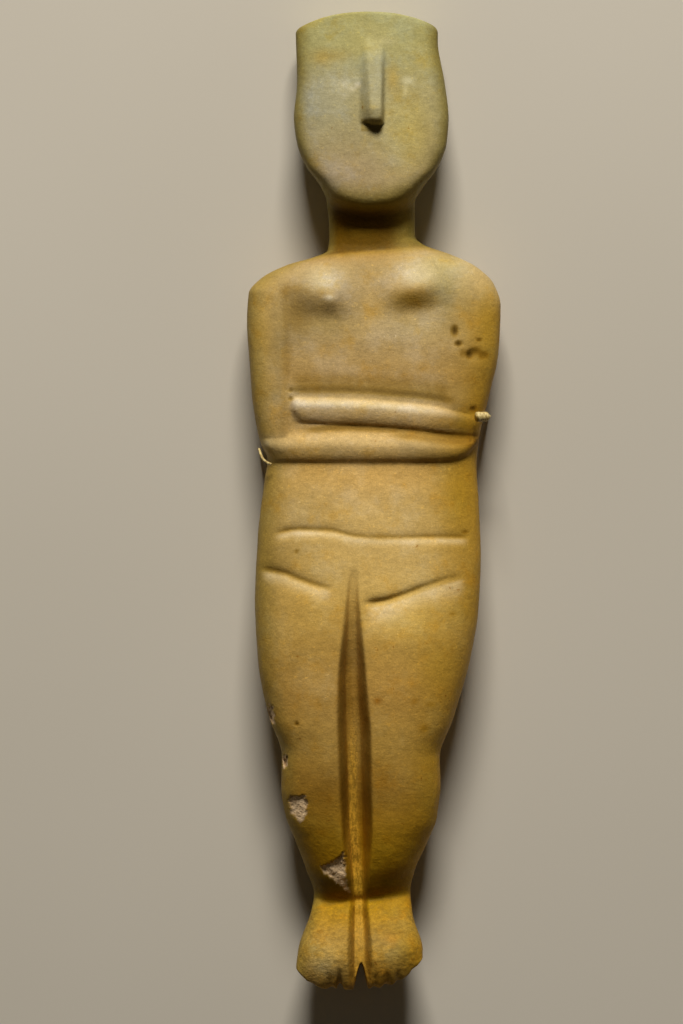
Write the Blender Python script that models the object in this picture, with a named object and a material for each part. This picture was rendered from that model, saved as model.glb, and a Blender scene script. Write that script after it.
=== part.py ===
"""Cycladic folded-arm figurine with the two small mounts that hold it at the elbows.

The figurine is one piece of marble.  It lies on its back: +Y runs from the feet to the head, +X to
the figure's left arm and +Z out of its face.  The origin is under the middle of its box, on the
surface that it lies on.  Shapes are worked out in body millimetres: x from the middle line,
height above the toe tips, and z above the surface it lies on.  They become metres in to_metres.
"""

import bmesh
import bpy
import numpy as np

MM = 0.001

# ---------------------------------------------------------------- driving dimensions, millimetres
LENGTH = 400.0          # toe tips to crown
BOX_MIDDLE = 2.4        # the wider +X shoulder puts the middle of the box beside the middle line
CROWN_FALL = 4.4        # fall of the crown line at CROWN_REACH from its middle
CROWN_REACH = 27.0
CROWN_MIDDLE = -0.5
CROWN_ROUND = 4.0       # rounding of the crown's corners, front edge and back edge
CROWN_FRONT_ROUND = 1.3
CROWN_BACK_ROUND = 7.0
TOE_ROUND = 2.4         # rounding of the toe tips
TOE_SIDE_ROUND = 2.5
TOE_SOLE_ROUND = 2.0
HEAD_BEND = 60.0        # length of head over which the crown's arch fades out
FOOT_BEND = 55.0        # length of foot over which the toe line fades out
LEAST_THICKNESS = 2.5   # of the stone between groove floor and sole

NECK_HALF = 18.0
CHIN_RISE = 4.0         # how much higher the jaw's edge is at the sides of the neck
ANKLE_HEIGHT = 35.5

NOTCH_LENGTH = 10.0     # of the notch between the feet
NOTCH_MIDDLE = 0.3
NOTCH_HALF = 3.7
NOTCH_SLANT = 3.7

NOSE_ROOT = 390.0       # where the nose starts on the forehead
NOSE_PEAK = 359.0       # where its ridge stands highest
NOSE_TIP = 355.3
NOSE_FOOT = 352.6       # where its underside meets the face
NOSE_LIFT = 6.7
NOSE_DROOP = 0.9        # fall of the ridge from its peak to the tip
# x of the nose's walls: foot and top of the -X wall, top and foot of the +X wall.
NOSE_WALLS_AT_ROOT = (-4.9, -1.8, 4.1, 6.2)
NOSE_WALLS_AT_TIP = (-5.1, 0.6, 4.1, 5.8)

BREASTS = (             # middle x, height of the crest, half-width, reach up, reach down, lift, lean
    (-19.0, 284.0, 10.8, 11.5, 12.2, 3.7, -0.08),
    (18.6, 286.8, 11.6, 12.0, 11.8, 4.0, 0.13),
)
NIPPLE = (-15.5, 281.2, 2.7, 2.6, 8.0, 0.5, 0.0)

UPPER_FOREARM = 2.2     # lift of the upper forearm over the chest
LOWER_FOREARM = 2.6
FOREARM_SKIRT = 0.4     # fillet under the lower forearm
HOLLOW = 2.0            # depth of the hollow above the forearms
HOLLOW_BELOW_TOP = 1.4
HOLLOW_REACH_UP = 6.0
HOLLOW_REACH_DOWN = 2.7
ARM_LIFT = 0.6          # lift of the -X upper arm at the shoulder
ELBOW_LIFT = 1.2        # and at its elbow
PLUS_ARM_LIFT = 0.45

# Half-widths from the body's middle line, on the -X and the +X side: (height, half-width).
MINUS_SIDE = (
    (0, 25.8), (8, 26.2), (16, 25.4), (30, 20.7), (38, 19.4), (48, 22.6), (60, 27.3), (70, 31.4),
    (82, 33.3), (95, 33.2), (110, 38.5), (135, 43.5), (160, 44.9), (180, 44.3), (206, 41.8),
    (216, 40.5), (222, 43.2), (232, 45.6), (250, 47.9), (274, 49.5), (284, 49.0), (290, 44.3),
    (296, 33.0), (299, 23.0), (302, 17.0), (308, 16.3), (322, 17.4), (328, 20.0), (336, 26.0),
    (346, 30.0), (356, 31.3), (370, 30.4), (384, 30.9), (400, 31.6),
)
PLUS_SIDE = (
    (0, 25.0), (8, 25.4), (16, 25.4), (30, 21.2), (40, 20.2), (48, 21.9), (60, 27.0), (70, 30.6),
    (84, 32.0), (95, 31.6), (110, 36.6), (135, 43.3), (155, 46.5), (176, 47.4), (200, 46.3),
    (216, 45.3), (222, 45.7), (230, 47.0), (245, 50.6), (262, 53.7), (280, 54.3), (289, 51.6),
    (296, 44.3), (301, 33.5), (305, 22.0), (308, 19.0), (322, 18.7), (328, 21.8), (336, 27.6),
    (346, 31.4), (356, 32.2), (372, 30.4), (388, 27.5), (400, 27.4),
)

# Side view: (height, back, widest line, front, squareness of the front, squareness of the back).
DEPTHS = (
    (0, 24.6, 27.0, 31.4, 2.5, 2.4), (4, 18.0, 25.4, 33.6, 2.6, 2.4),
    (8, 12.5, 23.4, 35.2, 2.7, 2.4), (13, 7.5, 21.2, 36.2, 2.7, 2.4),
    (16, 5.2, 20.2, 35.7, 2.7, 2.4), (20, 3.0, 19.0, 34.0, 2.6, 2.4),
    (28, 4.5, 17.0, 28.8, 2.5, 2.4),
    (34, 6.0, 15.5, 23.6, 2.4, 2.4), (36.5, 6.5, 14.6, 21.4, 2.3, 2.4),
    (42, 5.5, 15.2, 25.4, 2.2, 2.4), (50, 3.6, 16.8, 30.2, 2.2, 2.4),
    (62, 2.0, 18.3, 34.6, 2.3, 2.4), (75, 3.0, 20.0, 37.4, 2.4, 2.4),
    (92, 6.0, 22.0, 40.2, 2.4, 2.4), (110, 4.5, 22.0, 42.2, 2.4, 2.4),
    (125, 2.6, 21.6, 42.9, 2.4, 2.4), (140, 1.0, 21.0, 42.9, 2.5, 2.5),
    (155, -0.5, 20.2, 41.8, 2.6, 2.6), (170, -0.5, 19.5, 39.3, 2.7, 2.7),
    (182, 0.3, 19.0, 37.2, 2.8, 2.7), (200, 3.5, 18.5, 34.4, 2.9, 2.7),
    (214, 4.0, 18.0, 33.0, 3.0, 2.7), (240, 1.0, 17.5, 34.0, 3.1, 2.8),
    (262, -0.4, 17.5, 34.2, 3.1, 2.8), (284, -0.4, 17.0, 32.6, 3.0, 2.8),
    (296, 2.5, 16.5, 29.4, 2.6, 2.5), (299.5, 4.0, 16.4, 27.6, 2.4, 2.3),
    (302, 5.2, 16.3, 25.2, 2.3, 2.2), (305, 6.2, 16.3, 24.6, 2.2, 2.2),
    (311, 7.0, 16.6, 24.7, 2.2, 2.2), (314.5, 6.9, 17.2, 25.0, 2.3, 2.2),
    (316.2, 6.8, 17.6, 25.6, 2.5, 2.2), (317.3, 6.7, 18.1, 27.6, 2.8, 2.2),
    (318.8, 6.6, 18.6, 31.0, 3.2, 2.3), (320.6, 6.4, 19.1, 33.5, 3.6, 2.3),
    (323, 6.2, 19.4, 34.6, 4.0, 2.3), (325.5, 5.8, 19.4, 34.9, 4.3, 2.3),
    (334, 4.0, 19.0, 34.0, 4.5, 2.4), (352, 1.0, 17.0, 31.2, 4.3, 2.4),
    (370, -0.4, 14.5, 28.0, 4.2, 2.4), (385, -0.4, 13.0, 24.9, 4.2, 2.4),
    (400, 4.0, 12.5, 21.4, 4.0, 2.4),
)

# Curves drawn across the front: (x, height).
UPPER_ARM_TOP = (
    (-31, 244.4), (-12, 244.5), (0, 244.2), (10, 243.5), (24, 242.2), (41, 239.6), (50, 238.4),
)
ARM_CUT = (
    (-50, 230.6), (-31, 231.0), (-15, 230.5), (-7, 230.2), (7, 229.6), (22, 228.4), (34.6, 227.0),
    (45.5, 226.5), (50, 226.3),
)
LOWER_ARM_TOP = (
    (-50, 227.6), (-38, 228.2), (-31, 228.4), (-23, 228.9), (-15, 229.7), (-7, 230.1), *ARM_CUT[4:],
)
LOWER_ARM_FOOT = (
    (-50, 214.9), (-38, 214.7), (17, 215.3), (32, 215.8), (37, 216.7), (40.8, 218.5), (44.0, 221.6),
    (46.5, 225.2),
)
BELLY_LINE = (
    (-38, 185.6), (-26, 187.5), (-15, 187.2), (-4, 185.0), (7, 184.5), (32, 185.1), (43, 185.1),
)
GROIN_MINUS = ((-43.5, 171.6), (-33, 169.7), (-26, 167.0), (-19, 164.9), (-12, 163.4))
GROIN_PLUS = ((-1, 157.9), (7, 158.9), (15, 161.4), (25, 165.3), (34, 168.3), (42, 170.4))
ANKLE_LINE = ((-20, 36.2), (-12, 33.9), (-4, 34.5), (3, 35.2), (20, 37.6))
INCISIONS = (           # curve, depths at its two ends, reach of its steep upper and gentle lower side
    (BELLY_LINE, 1.35, 0.95, 2.2, 4.8), (GROIN_MINUS, 1.9, 0.9, 1.9, 9.0),
    (GROIN_PLUS, 2.5, 0.2, 1.3, 15.0),
)
BELLY_GAP = (4.0, 14.0, 0.5)   # the belly line is fainter here: middle x, reach, share lost

# The groove between the legs: (height, middle x, half-width, depth).
LEG_GROOVE = (
    (0, 0.0, 4.9, 3.0), (8, -0.1, 5.0, 6.0), (15, -0.3, 5.1, 7.6), (28, -0.7, 4.4, 7.6),
    (34, -0.9, 4.0, 4.9), (37, -1.0, 4.0, 4.4), (42, -1.2, 4.4, 7.2), (51, -1.5, 5.4, 11.2),
    (60, -1.8, 6.2, 12.6), (75, -2.5, 6.7, 13.7), (102, -3.6, 7.0, 14.0), (129, -4.8, 5.8, 11.0),
    (144, -4.9, 4.4, 7.0), (159, -5.0, 3.0, 2.4), (172, -4.6, 2.0, 0.0),
)

# Mesh density of the figurine: more rows and columns where the carving is tight.
ROWS = 78
FRONT_COLUMNS = 38
BACK_COLUMNS = 22
ROW_FOCUS = (           # height, reach, extra density
    (399, 3, 2.5), (355, 4, 1.8), (319, 5, 2.4), (302, 4, 1.6), (282, 8, 1.2), (230, 14, 2.6),
    (186, 4, 1.4), (164, 9, 1.0), (37, 5, 2.2), (5, 7, 2.4),
)
COLUMN_FOCUS = ((-0.05, 0.15, 2.0),)
BACK_FOCUS = ((0.0, 0.12, 3.0),)

# The mounts at the elbows, made of bent pins that stand on the surface beside the figure.
PIN_RADIUS = 0.7
SLEEVE_RADIUS = 2.1
STRIP_RADIUS = 0.5
PIN_ROUTE = (           # x, height, z, radius
    (49.9, 234.6, 0.0, PIN_RADIUS), (49.9, 234.6, 12.0, PIN_RADIUS), (49.9, 234.6, 22.0, PIN_RADIUS),
    (50.0, 234.5, 27.0, PIN_RADIUS), (49.4, 234.4, 30.2, PIN_RADIUS),
    (48.4, 234.3, 31.4, SLEEVE_RADIUS), (44.8, 234.2, 33.4, SLEEVE_RADIUS),
)
STRIP_ROUTE = (
    (-44.0, 220.2, 0.0, STRIP_RADIUS), (-44.0, 220.2, 12.0, STRIP_RADIUS),
    (-44.0, 220.2, 19.0, STRIP_RADIUS), (-43.8, 219.8, 23.5, STRIP_RADIUS),
    (-43.1, 217.8, 26.4, STRIP_RADIUS), (-42.1, 216.0, 28.2, STRIP_RADIUS),
    (-40.4, 214.6, 29.5, STRIP_RADIUS), (-38.7, 213.9, 30.4, STRIP_RADIUS),
)

MARBLE = (0.62, 0.47, 0.27, 1.0)
CREAM_COATING = (0.78, 0.72, 0.55, 1.0)


# ---------------------------------------------------------------- curves and soft steps
def smooth_through(stations, column, at):
    """Value of one column at the given places: a monotone cubic through the stations."""
    keys = np.array([row[0] for row in stations], float)
    values = np.array([row[column] for row in stations], float)
    steps = np.diff(keys)
    slopes = np.diff(values) / steps
    tangents = np.zeros_like(values)
    same_way = slopes[:-1] * slopes[1:] > 0
    weight_a = 2 * steps[1:] + steps[:-1]
    weight_b = steps[1:] + 2 * steps[:-1]
    safe_a = np.where(same_way, slopes[:-1], 1.0)
    safe_b = np.where(same_way, slopes[1:], 1.0)
    harmonic = (weight_a + weight_b) / (weight_a / safe_a + weight_b / safe_b)
    tangents[1:-1] = np.where(same_way, harmonic, 0.0)
    tangents[0] = slopes[0]
    tangents[-1] = slopes[-1]
    at = np.clip(at, keys[0], keys[-1])
    span = np.clip(np.searchsorted(keys, at, side="right") - 1, 0, len(steps) - 1)
    t = (at - keys[span]) / steps[span]
    rise = t * t * (3 - 2 * t)
    return (
        values[span] * (1 - rise)
        + values[span + 1] * rise
        + steps[span] * t * (1 - t) * (tangents[span] * (1 - t) - tangents[span + 1] * t)
    )


def soft_step(value, start, end):
    """0 before start, 1 after end, smooth between."""
    t = np.clip((value - start) / (end - start), 0.0, 1.0)
    return t * t * (3 - 2 * t)


def window(value, low, high, fade):
    """1 between low and high, fading to 0 outside."""
    return soft_step(value, low - fade, low) * (1 - soft_step(value, high, high + fade))


def spread(low, high, count, focus):
    """Count + 1 places from low to high, closer together around each (middle, reach, extra)."""
    fine = np.linspace(low, high, 4001)
    density = np.ones_like(fine)
    for middle, reach, extra in focus:
        density += extra * np.exp(-(((fine - middle) / reach) ** 2))
    running = np.concatenate([[0.0], np.cumsum((density[1:] + density[:-1]) / 2)])
    return np.interp(np.linspace(0.0, running[-1], count + 1), running, fine)


# ---------------------------------------------------------------- outlines at the two ends
def crown_line(x):
    """How far the crown's edge lies below its highest point."""
    return CROWN_FALL * (np.abs(x - CROWN_MIDDLE) / CROWN_REACH) ** 2.35


def notch_line(x):
    """Length of the notch between the feet."""
    return NOTCH_LENGTH * soft_step(NOTCH_HALF - np.abs(x - NOTCH_MIDDLE), 0.0, NOTCH_SLANT)


def corner_line(x):
    """How far the rounded ends of the feet lie above the toe tips."""
    minus_corner = 7.0 * np.clip((-x - 14.5) / 11.5, 0.0, 1.2) ** 2.2
    plus_corner = 11.7 * np.clip((x - 6.0) / 19.5, 0.0, 1.2) ** 2.4 + 0.6 * soft_step(x, 3, 5)
    return minus_corner + plus_corner


# ---------------------------------------------------------------- carving on the front
def mound(x, height, middle, crest, half, up, down, lift, lean):
    """A breast: it rises softly out of the chest and drops more steeply below its crest."""
    above = height - crest - lean * (x - middle)
    soft_side = np.exp(-(np.abs(above / up) ** 1.5))
    steep_side = (1 + np.cos(np.pi * np.clip(-above / down, 0, 1))) / 2
    across = np.exp(-(np.abs((x - middle) / half) ** 2.6))
    return lift * across * np.where(above > 0, soft_side, steep_side)


def bar(x, height, top_curve, foot_curve, crest, foot_power):
    """A rounded bar between two curves, such as a forearm: soft above its crest, fuller below."""
    top = smooth_through(top_curve, 1, x)
    foot = smooth_through(foot_curve, 1, x)
    t = (height - foot) / (top - foot)
    above = np.clip((t - crest) / (1 - crest), 0.0, 1.0)
    below = np.clip((crest - t) / crest, 0.0, 1.0)
    return np.where(t > crest, (1 + np.cos(np.pi * above)) / 2, (1 - below**2) ** foot_power)


def incision(x, height, curve, first_depth, last_depth, upper_reach, lower_reach):
    """A cut with a steep upper side and a gentle lower one, thinning out at both of its ends."""
    ends = window(x, curve[0][0] + 6, curve[-1][0] - 6, 7.0)
    if curve is BELLY_LINE:
        middle, reach, share = BELLY_GAP
        ends = ends * (1 - share * np.exp(-(((x - middle) / reach) ** 2)))
    depth = np.interp(x, [curve[0][0], curve[-1][0]], [first_depth, last_depth])
    above = height - smooth_through(curve, 1, x)
    upper = np.exp(-(np.sqrt(above**2 + 0.09) - 0.3) / upper_reach)
    gentle = (1 - np.clip(-above / lower_reach, 0.0, 1.0) ** 1.4) ** 2
    lip = (1 - np.clip(-above / (0.35 * lower_reach), 0.0, 1.0)) ** 2
    lower = 0.65 * gentle + 0.35 * lip
    return -depth * ends * np.where(above > 0, upper, lower)


def nose(x, height):
    """A bar that rises from the forehead to its peak, with a flat ridge and a drooping, rounded tip."""
    along = np.clip((NOSE_ROOT - height) / (NOSE_ROOT - NOSE_PEAK), 0.0, 1.0)
    down = np.clip((NOSE_ROOT - height) / (NOSE_ROOT - NOSE_TIP), 0.0, 1.0)
    left_foot, left_top, right_top, right_foot = (
        root + (tip - root) * down for root, tip in zip(NOSE_WALLS_AT_ROOT, NOSE_WALLS_AT_TIP)
    )
    across = soft_step(x, left_foot, left_top) * (1 - soft_step(x, right_top, right_foot))
    off_ridge = (x - (left_top + right_top) / 2) / 3.0
    ridge = 1 - 0.08 * np.clip(np.abs(off_ridge), 0, 1.2) ** 2
    level = height - 0.5 * np.clip(off_ridge**2, 0.0, 1.6)
    droop = NOSE_DROOP * np.clip((NOSE_PEAK - level) / (NOSE_PEAK - NOSE_TIP), 0.0, 1.0) ** 1.3
    round_from = NOSE_TIP + 0.6
    tip = np.sqrt(1 - np.clip((round_from - level) / (round_from - NOSE_FOOT), 0.0, 1.0) ** 2)
    return (NOSE_LIFT * along * soft_step(along, -0.02, 0.16) - droop) * across * ridge * tip


def forearms(x, height):
    """Two rounded bars that meet in a sharp cut; the upper one ends in a blunt hand at -X."""
    below_knuckles = np.clip(236 - height, 0, 20)
    hand = soft_step(x, -32.0 + 0.25 * below_knuckles, -28.4 + 0.6 * below_knuckles)
    hand = hand * (1 - 0.55 * soft_step(x, 28, 45))
    upper = UPPER_FOREARM * hand * bar(x, height, UPPER_ARM_TOP, ARM_CUT, 0.48, 0.75)
    lower = LOWER_FOREARM * bar(x, height, LOWER_ARM_TOP, LOWER_ARM_FOOT, 0.42, 0.66)
    off_top = height - smooth_through(UPPER_ARM_TOP, 1, x) + HOLLOW_BELOW_TOP
    reach = np.where(off_top > 0, HOLLOW_REACH_UP, HOLLOW_REACH_DOWN)
    hollow = HOLLOW * np.exp(-((off_top / reach) ** 2)) * window(x, -26, 40, 8.0)
    below_foot = np.maximum(smooth_through(LOWER_ARM_FOOT, 1, x) - height, 0.0)
    skirt = FOREARM_SKIRT * np.exp(-below_foot / 1.1)
    return np.maximum.reduce([upper, lower, skirt * (height < 224)]) - hollow


def upper_arms(x, height):
    """The upper arms stand a little proud of the chest, the -X one more towards its elbow."""
    inner_edge = np.interp(height, [229, 287], [32.2, 37.0])
    arm = soft_step(np.abs(x), inner_edge - 1.6, inner_edge + 1.8)
    minus_lift = np.interp(height, [236, 270], [ELBOW_LIFT, ARM_LIFT])
    minus = minus_lift * window(height, 224, 280, 10.0)
    plus = PLUS_ARM_LIFT * window(height, 240, 282, 10.0)
    return arm * np.where(x < 0, minus, plus)


def leg_groove(x, height):
    """The cut between the legs: a flat floor between steep walls, the +X lip sharper."""
    middle = smooth_through(LEG_GROOVE, 1, height)
    half = smooth_through(LEG_GROOVE, 2, height)
    depth = smooth_through(LEG_GROOVE, 3, height)
    away = (x - middle) / half
    minus_wall = np.sin(np.pi / 2 * np.clip((-away - 0.42) / 0.68, 0.0, 1.0))
    plus_wall = soft_step(away, 0.3, 1.06)
    channel = 1 - np.where(away < 0, minus_wall, plus_wall)
    shoulder = np.exp(-((x - middle) / (2.3 * half)) ** 2)
    return -depth * channel - 0.10 * depth * shoulder


def front_carving(x, height):
    """All the relief on the front except the groove between the legs."""
    cut = nose(x, height) + np.maximum(forearms(x, height), upper_arms(x, height))
    for breast in (*BREASTS, NIPPLE):
        cut = cut + mound(x, height, *breast)
    for cut_line in INCISIONS:
        cut = cut + incision(x, height, *cut_line)
    return cut


def trough(distance, half):
    """Cross-section of a rounded cut: 1 in its middle and 0 from half on."""
    return np.clip(1 - (distance / half) ** 2, 0.0, 1.0) ** 2


def back_carving(x, height):
    """Plain back: spine, arm lines, and the cleft between the legs.  Cuts are positive in z."""
    spine = 1.4 * window(height, 212, 290, 10.0) * trough(x, 5.0)
    arm_lines = 0.9 * window(height, 236, 280, 8.0) * trough(np.abs(x) - 33.0, 3.2)
    middle = smooth_through(LEG_GROOVE, 1, height)
    cleft = 6.0 * window(height, 34, 118, 30.0) * trough(x - middle, 7.5)
    return spine + arm_lines + cleft


# ---------------------------------------------------------------- the body as one surface
def end_rounding(from_end, radius):
    """0 over the body, rising to 1 at one end of it along a quarter circle."""
    near = np.clip(1 - from_end / radius, 0.0, 1.0)
    return 1 - np.sqrt(1 - near**2)


def half_width(height, across):
    """Width from the middle line on the side that across lies on."""
    minus = smooth_through(MINUS_SIDE, 1, height)
    plus = smooth_through(PLUS_SIDE, 1, height)
    return np.where(across < 0, minus, plus)


def bent_heights(along, across):
    """Heights of the surface points: rows bend to follow the crown and the toes."""
    x = across * half_width(along, across)
    head = np.clip((along - (LENGTH - HEAD_BEND)) / HEAD_BEND, 0.0, 1.0) ** 2
    foot = np.clip(1 - along / FOOT_BEND, 0.0, 1.0) ** 2
    return along - head * crown_line(x) + foot * (notch_line(x) + corner_line(x))


def side_view_level(along, height, x):
    """Height at which the side view is read, so that the chin and ankle lines can curve."""
    chin = CHIN_RISE * (x / NECK_HALF) ** 2 * window(height, 316, 328, 12.0)
    ankle = (smooth_through(ANKLE_LINE, 1, x) - ANKLE_HEIGHT) * window(height, 28, 44, 8.0)
    foot = np.clip(1 - along / FOOT_BEND, 0.0, 1.0) ** 2
    on_foot = along + foot * (notch_line(x) + corner_line(x) * soft_step(along, 12.0, 44.0))
    return np.where(along < FOOT_BEND, on_foot, height) - chin - ankle


def surface(along, across, front):
    """Points of the front or back surface: x, height and z."""
    height = bent_heights(along, across)
    crown = end_rounding(LENGTH - along, CROWN_ROUND)
    toes = end_rounding(along, TOE_ROUND)
    x = across * (half_width(height, across) - CROWN_ROUND * crown - TOE_SIDE_ROUND * toes)
    level = side_view_level(along, height, x)
    back_z, edge_z, front_z, front_square, back_square = (
        smooth_through(DEPTHS, column, level) for column in range(1, 6)
    )
    back_z = back_z + CROWN_BACK_ROUND * crown + TOE_SOLE_ROUND * toes
    front_z = front_z - CROWN_FRONT_ROUND * end_rounding(LENGTH - along, CROWN_FRONT_ROUND)
    front_z = front_z - TOE_ROUND * toes
    reach = np.clip(np.abs(across), 0.0, 1.0)

    back_dome = (1 - reach**back_square) ** (1 / back_square)
    rear = np.maximum(edge_z - (edge_z - back_z) * back_dome, 0.0)
    rear = np.minimum(rear + back_carving(x, height) * back_dome, edge_z)
    if not front:
        return np.stack([x, height, rear], axis=-1)

    front_dome = (1 - reach**front_square) ** (1 / front_square)
    inside_rim = soft_step(front_dome, 0.0, 0.6)
    face = edge_z + (front_z - edge_z) * front_dome
    face = face + (front_carving(x, height) + leg_groove(x, height)) * inside_rim
    least = rear + LEAST_THICKNESS * soft_step(front_dome, 0.0, 0.5)
    return np.stack([x, height, np.maximum(face, least)], axis=-1)


def body_rings():
    """Rings of surface points from the toes to the crown, counter-clockwise seen from the head."""
    along = spread(0.0, LENGTH, ROWS, ROW_FOCUS)
    front_t = spread(-1.0, 1.0, FRONT_COLUMNS, COLUMN_FOCUS)
    back_t = spread(-1.0, 1.0, BACK_COLUMNS, BACK_FOCUS)
    front_across = np.sin(np.pi / 2 * front_t)
    back_across = np.sin(np.pi / 2 * back_t)[::-1]
    rows_f, columns_f = np.meshgrid(along, front_across, indexing="ij")
    rows_b, columns_b = np.meshgrid(along, back_across[1:-1], indexing="ij")
    front = surface(rows_f, columns_f, True)
    back = surface(rows_b, columns_b, False)
    return np.concatenate([front, back], axis=1)


# ---------------------------------------------------------------- meshes and objects
def to_metres(points):
    """Body millimetres to metres, with the origin under the middle of the figure's box."""
    return (np.asarray(points) - (BOX_MIDDLE, LENGTH / 2, 0.0)) * MM


def end_cap(mesh, front_chain, back_chain, flip):
    """Close a ring with a strip of triangles between its front chain and its back chain."""
    i = j = 0
    while i < len(front_chain) - 1 or j < len(back_chain) - 1:
        more_front = i < len(front_chain) - 1
        more_back = j < len(back_chain) - 1
        front_next = front_chain[min(i + 1, len(front_chain) - 1)].co.x
        back_next = back_chain[min(j + 1, len(back_chain) - 1)].co.x
        if more_front and (not more_back or front_next <= back_next):
            corners = [front_chain[i], front_chain[i + 1], back_chain[j]]
            i += 1
        else:
            corners = [front_chain[i], back_chain[j + 1], back_chain[j]]
            j += 1
        if len(set(corners)) == 3:
            mesh.faces.new(corners[::-1] if flip else corners)


def finish_object(name, mesh, material):
    """Turn the closed mesh into an object of triangles with one material."""
    bmesh.ops.triangulate(mesh, faces=mesh.faces)
    bmesh.ops.recalc_face_normals(mesh, faces=mesh.faces)
    data = bpy.data.meshes.new(name)
    mesh.to_mesh(data)
    mesh.free()
    data.shade_smooth()
    data.materials.append(material)
    thing = bpy.data.objects.new(name, data)
    bpy.context.collection.objects.link(thing)
    return thing


def principled(name, colour, roughness, metallic=0.0):
    """A plain material of one colour."""
    material = bpy.data.materials.new(name)
    material.use_nodes = True
    shader = material.node_tree.nodes["Principled BSDF"]
    shader.inputs["Base Color"].default_value = colour
    shader.inputs["Roughness"].default_value = roughness
    shader.inputs["Metallic"].default_value = metallic
    material.diffuse_color = colour
    return material


def make_figurine(material):
    """The whole figure as one closed body: rings joined from the toes to the crown, and two caps."""
    rings = to_metres(body_rings())
    mesh = bmesh.new()
    verts = [[mesh.verts.new(point) for point in ring] for ring in rings]
    count = len(verts[0])
    for low, high in zip(verts[:-1], verts[1:]):
        for k in range(count):
            after = (k + 1) % count
            mesh.faces.new((low[k], low[after], high[after], high[k]))
    for ring, flip in ((verts[0], False), (verts[-1], True)):
        front_chain = ring[: FRONT_COLUMNS + 1]
        back_chain = [ring[0]] + ring[FRONT_COLUMNS + 1 :][::-1] + [ring[FRONT_COLUMNS]]
        end_cap(mesh, front_chain, back_chain, flip)
    return finish_object("figurine", mesh, material)


def make_bent_pin(name, route, material):
    """A round pin of changing thickness along a smooth route, with flat ends."""
    steps = [k / 4 for k in range(4 * (len(route) - 1) + 1)]
    keyed = [(k,) + tuple(point) for k, point in enumerate(route)]
    columns = [smooth_through(keyed, column, np.array(steps)) for column in (1, 2, 3, 4)]
    centres = to_metres(np.stack(columns[:3], axis=-1))
    curve = bpy.data.curves.new(name, "CURVE")
    curve.dimensions = "3D"
    curve.bevel_depth = MM
    curve.bevel_resolution = 2
    curve.use_fill_caps = True
    spline = curve.splines.new("POLY")
    spline.points.add(len(centres) - 1)
    for point, centre, radius in zip(spline.points, centres, columns[3]):
        point.co = (*centre, 1.0)
        point.radius = radius
    curve.materials.append(material)
    thing = bpy.data.objects.new(name, curve)
    bpy.context.collection.objects.link(thing)
    return thing


def main():
    """Clear the scene and build the three pieces."""
    for thing in list(bpy.data.objects):
        bpy.data.objects.remove(thing)
    marble = principled("aged_marble", MARBLE, 0.45)
    coating = principled("cream_coating", CREAM_COATING, 0.5)
    make_figurine(marble)
    make_bent_pin("elbow_pin", PIN_ROUTE, coating)
    make_bent_pin("elbow_strip", STRIP_ROUTE, coating)


main()
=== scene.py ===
"""Looks of the Cycladic folded-arm figurine: weathered marble, its two small mounts, floor and light.

The figurine is carved again here on a finer mesh over the same body as the CAD solid.  Shapes are
worked out in body units, each a millimetre: x from the middle line, y above the toe tips, z above
the floor.  to_metres places them by the CAD solid's own box.
"""

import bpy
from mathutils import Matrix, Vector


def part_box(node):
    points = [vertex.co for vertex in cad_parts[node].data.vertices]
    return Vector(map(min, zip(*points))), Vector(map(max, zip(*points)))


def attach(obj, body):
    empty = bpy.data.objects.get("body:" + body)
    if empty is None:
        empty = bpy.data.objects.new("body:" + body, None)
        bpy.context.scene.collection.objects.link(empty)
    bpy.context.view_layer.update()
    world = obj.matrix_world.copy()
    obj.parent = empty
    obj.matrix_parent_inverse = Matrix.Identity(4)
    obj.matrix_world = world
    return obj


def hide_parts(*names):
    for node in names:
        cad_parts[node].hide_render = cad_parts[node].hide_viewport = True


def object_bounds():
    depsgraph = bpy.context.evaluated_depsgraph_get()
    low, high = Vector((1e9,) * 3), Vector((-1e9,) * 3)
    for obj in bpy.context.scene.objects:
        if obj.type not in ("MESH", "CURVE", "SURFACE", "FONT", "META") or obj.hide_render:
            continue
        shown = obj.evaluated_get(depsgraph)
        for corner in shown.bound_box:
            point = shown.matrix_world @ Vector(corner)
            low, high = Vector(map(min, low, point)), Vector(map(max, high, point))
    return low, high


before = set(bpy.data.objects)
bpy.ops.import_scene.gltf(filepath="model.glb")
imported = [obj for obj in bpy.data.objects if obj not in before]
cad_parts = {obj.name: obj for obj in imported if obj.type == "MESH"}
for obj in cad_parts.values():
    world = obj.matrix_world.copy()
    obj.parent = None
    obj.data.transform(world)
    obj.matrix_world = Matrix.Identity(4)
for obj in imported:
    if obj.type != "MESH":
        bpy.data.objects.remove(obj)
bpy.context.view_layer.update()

import math

import bpy
import numpy as np
from mathutils import Matrix, Vector

# ---- frame of the figurine
LOW, HIGH = (np.array(corner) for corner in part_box("figurine"))
LENGTH = 400  # toe tips to crown, in body units
UNIT = (HIGH[1] - LOW[1]) / LENGTH  # metres in one body unit
BOX_MIDDLE = 2.4  # x of the middle of the box
FLOOR_LEVEL = float(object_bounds()[0][2])

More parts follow.
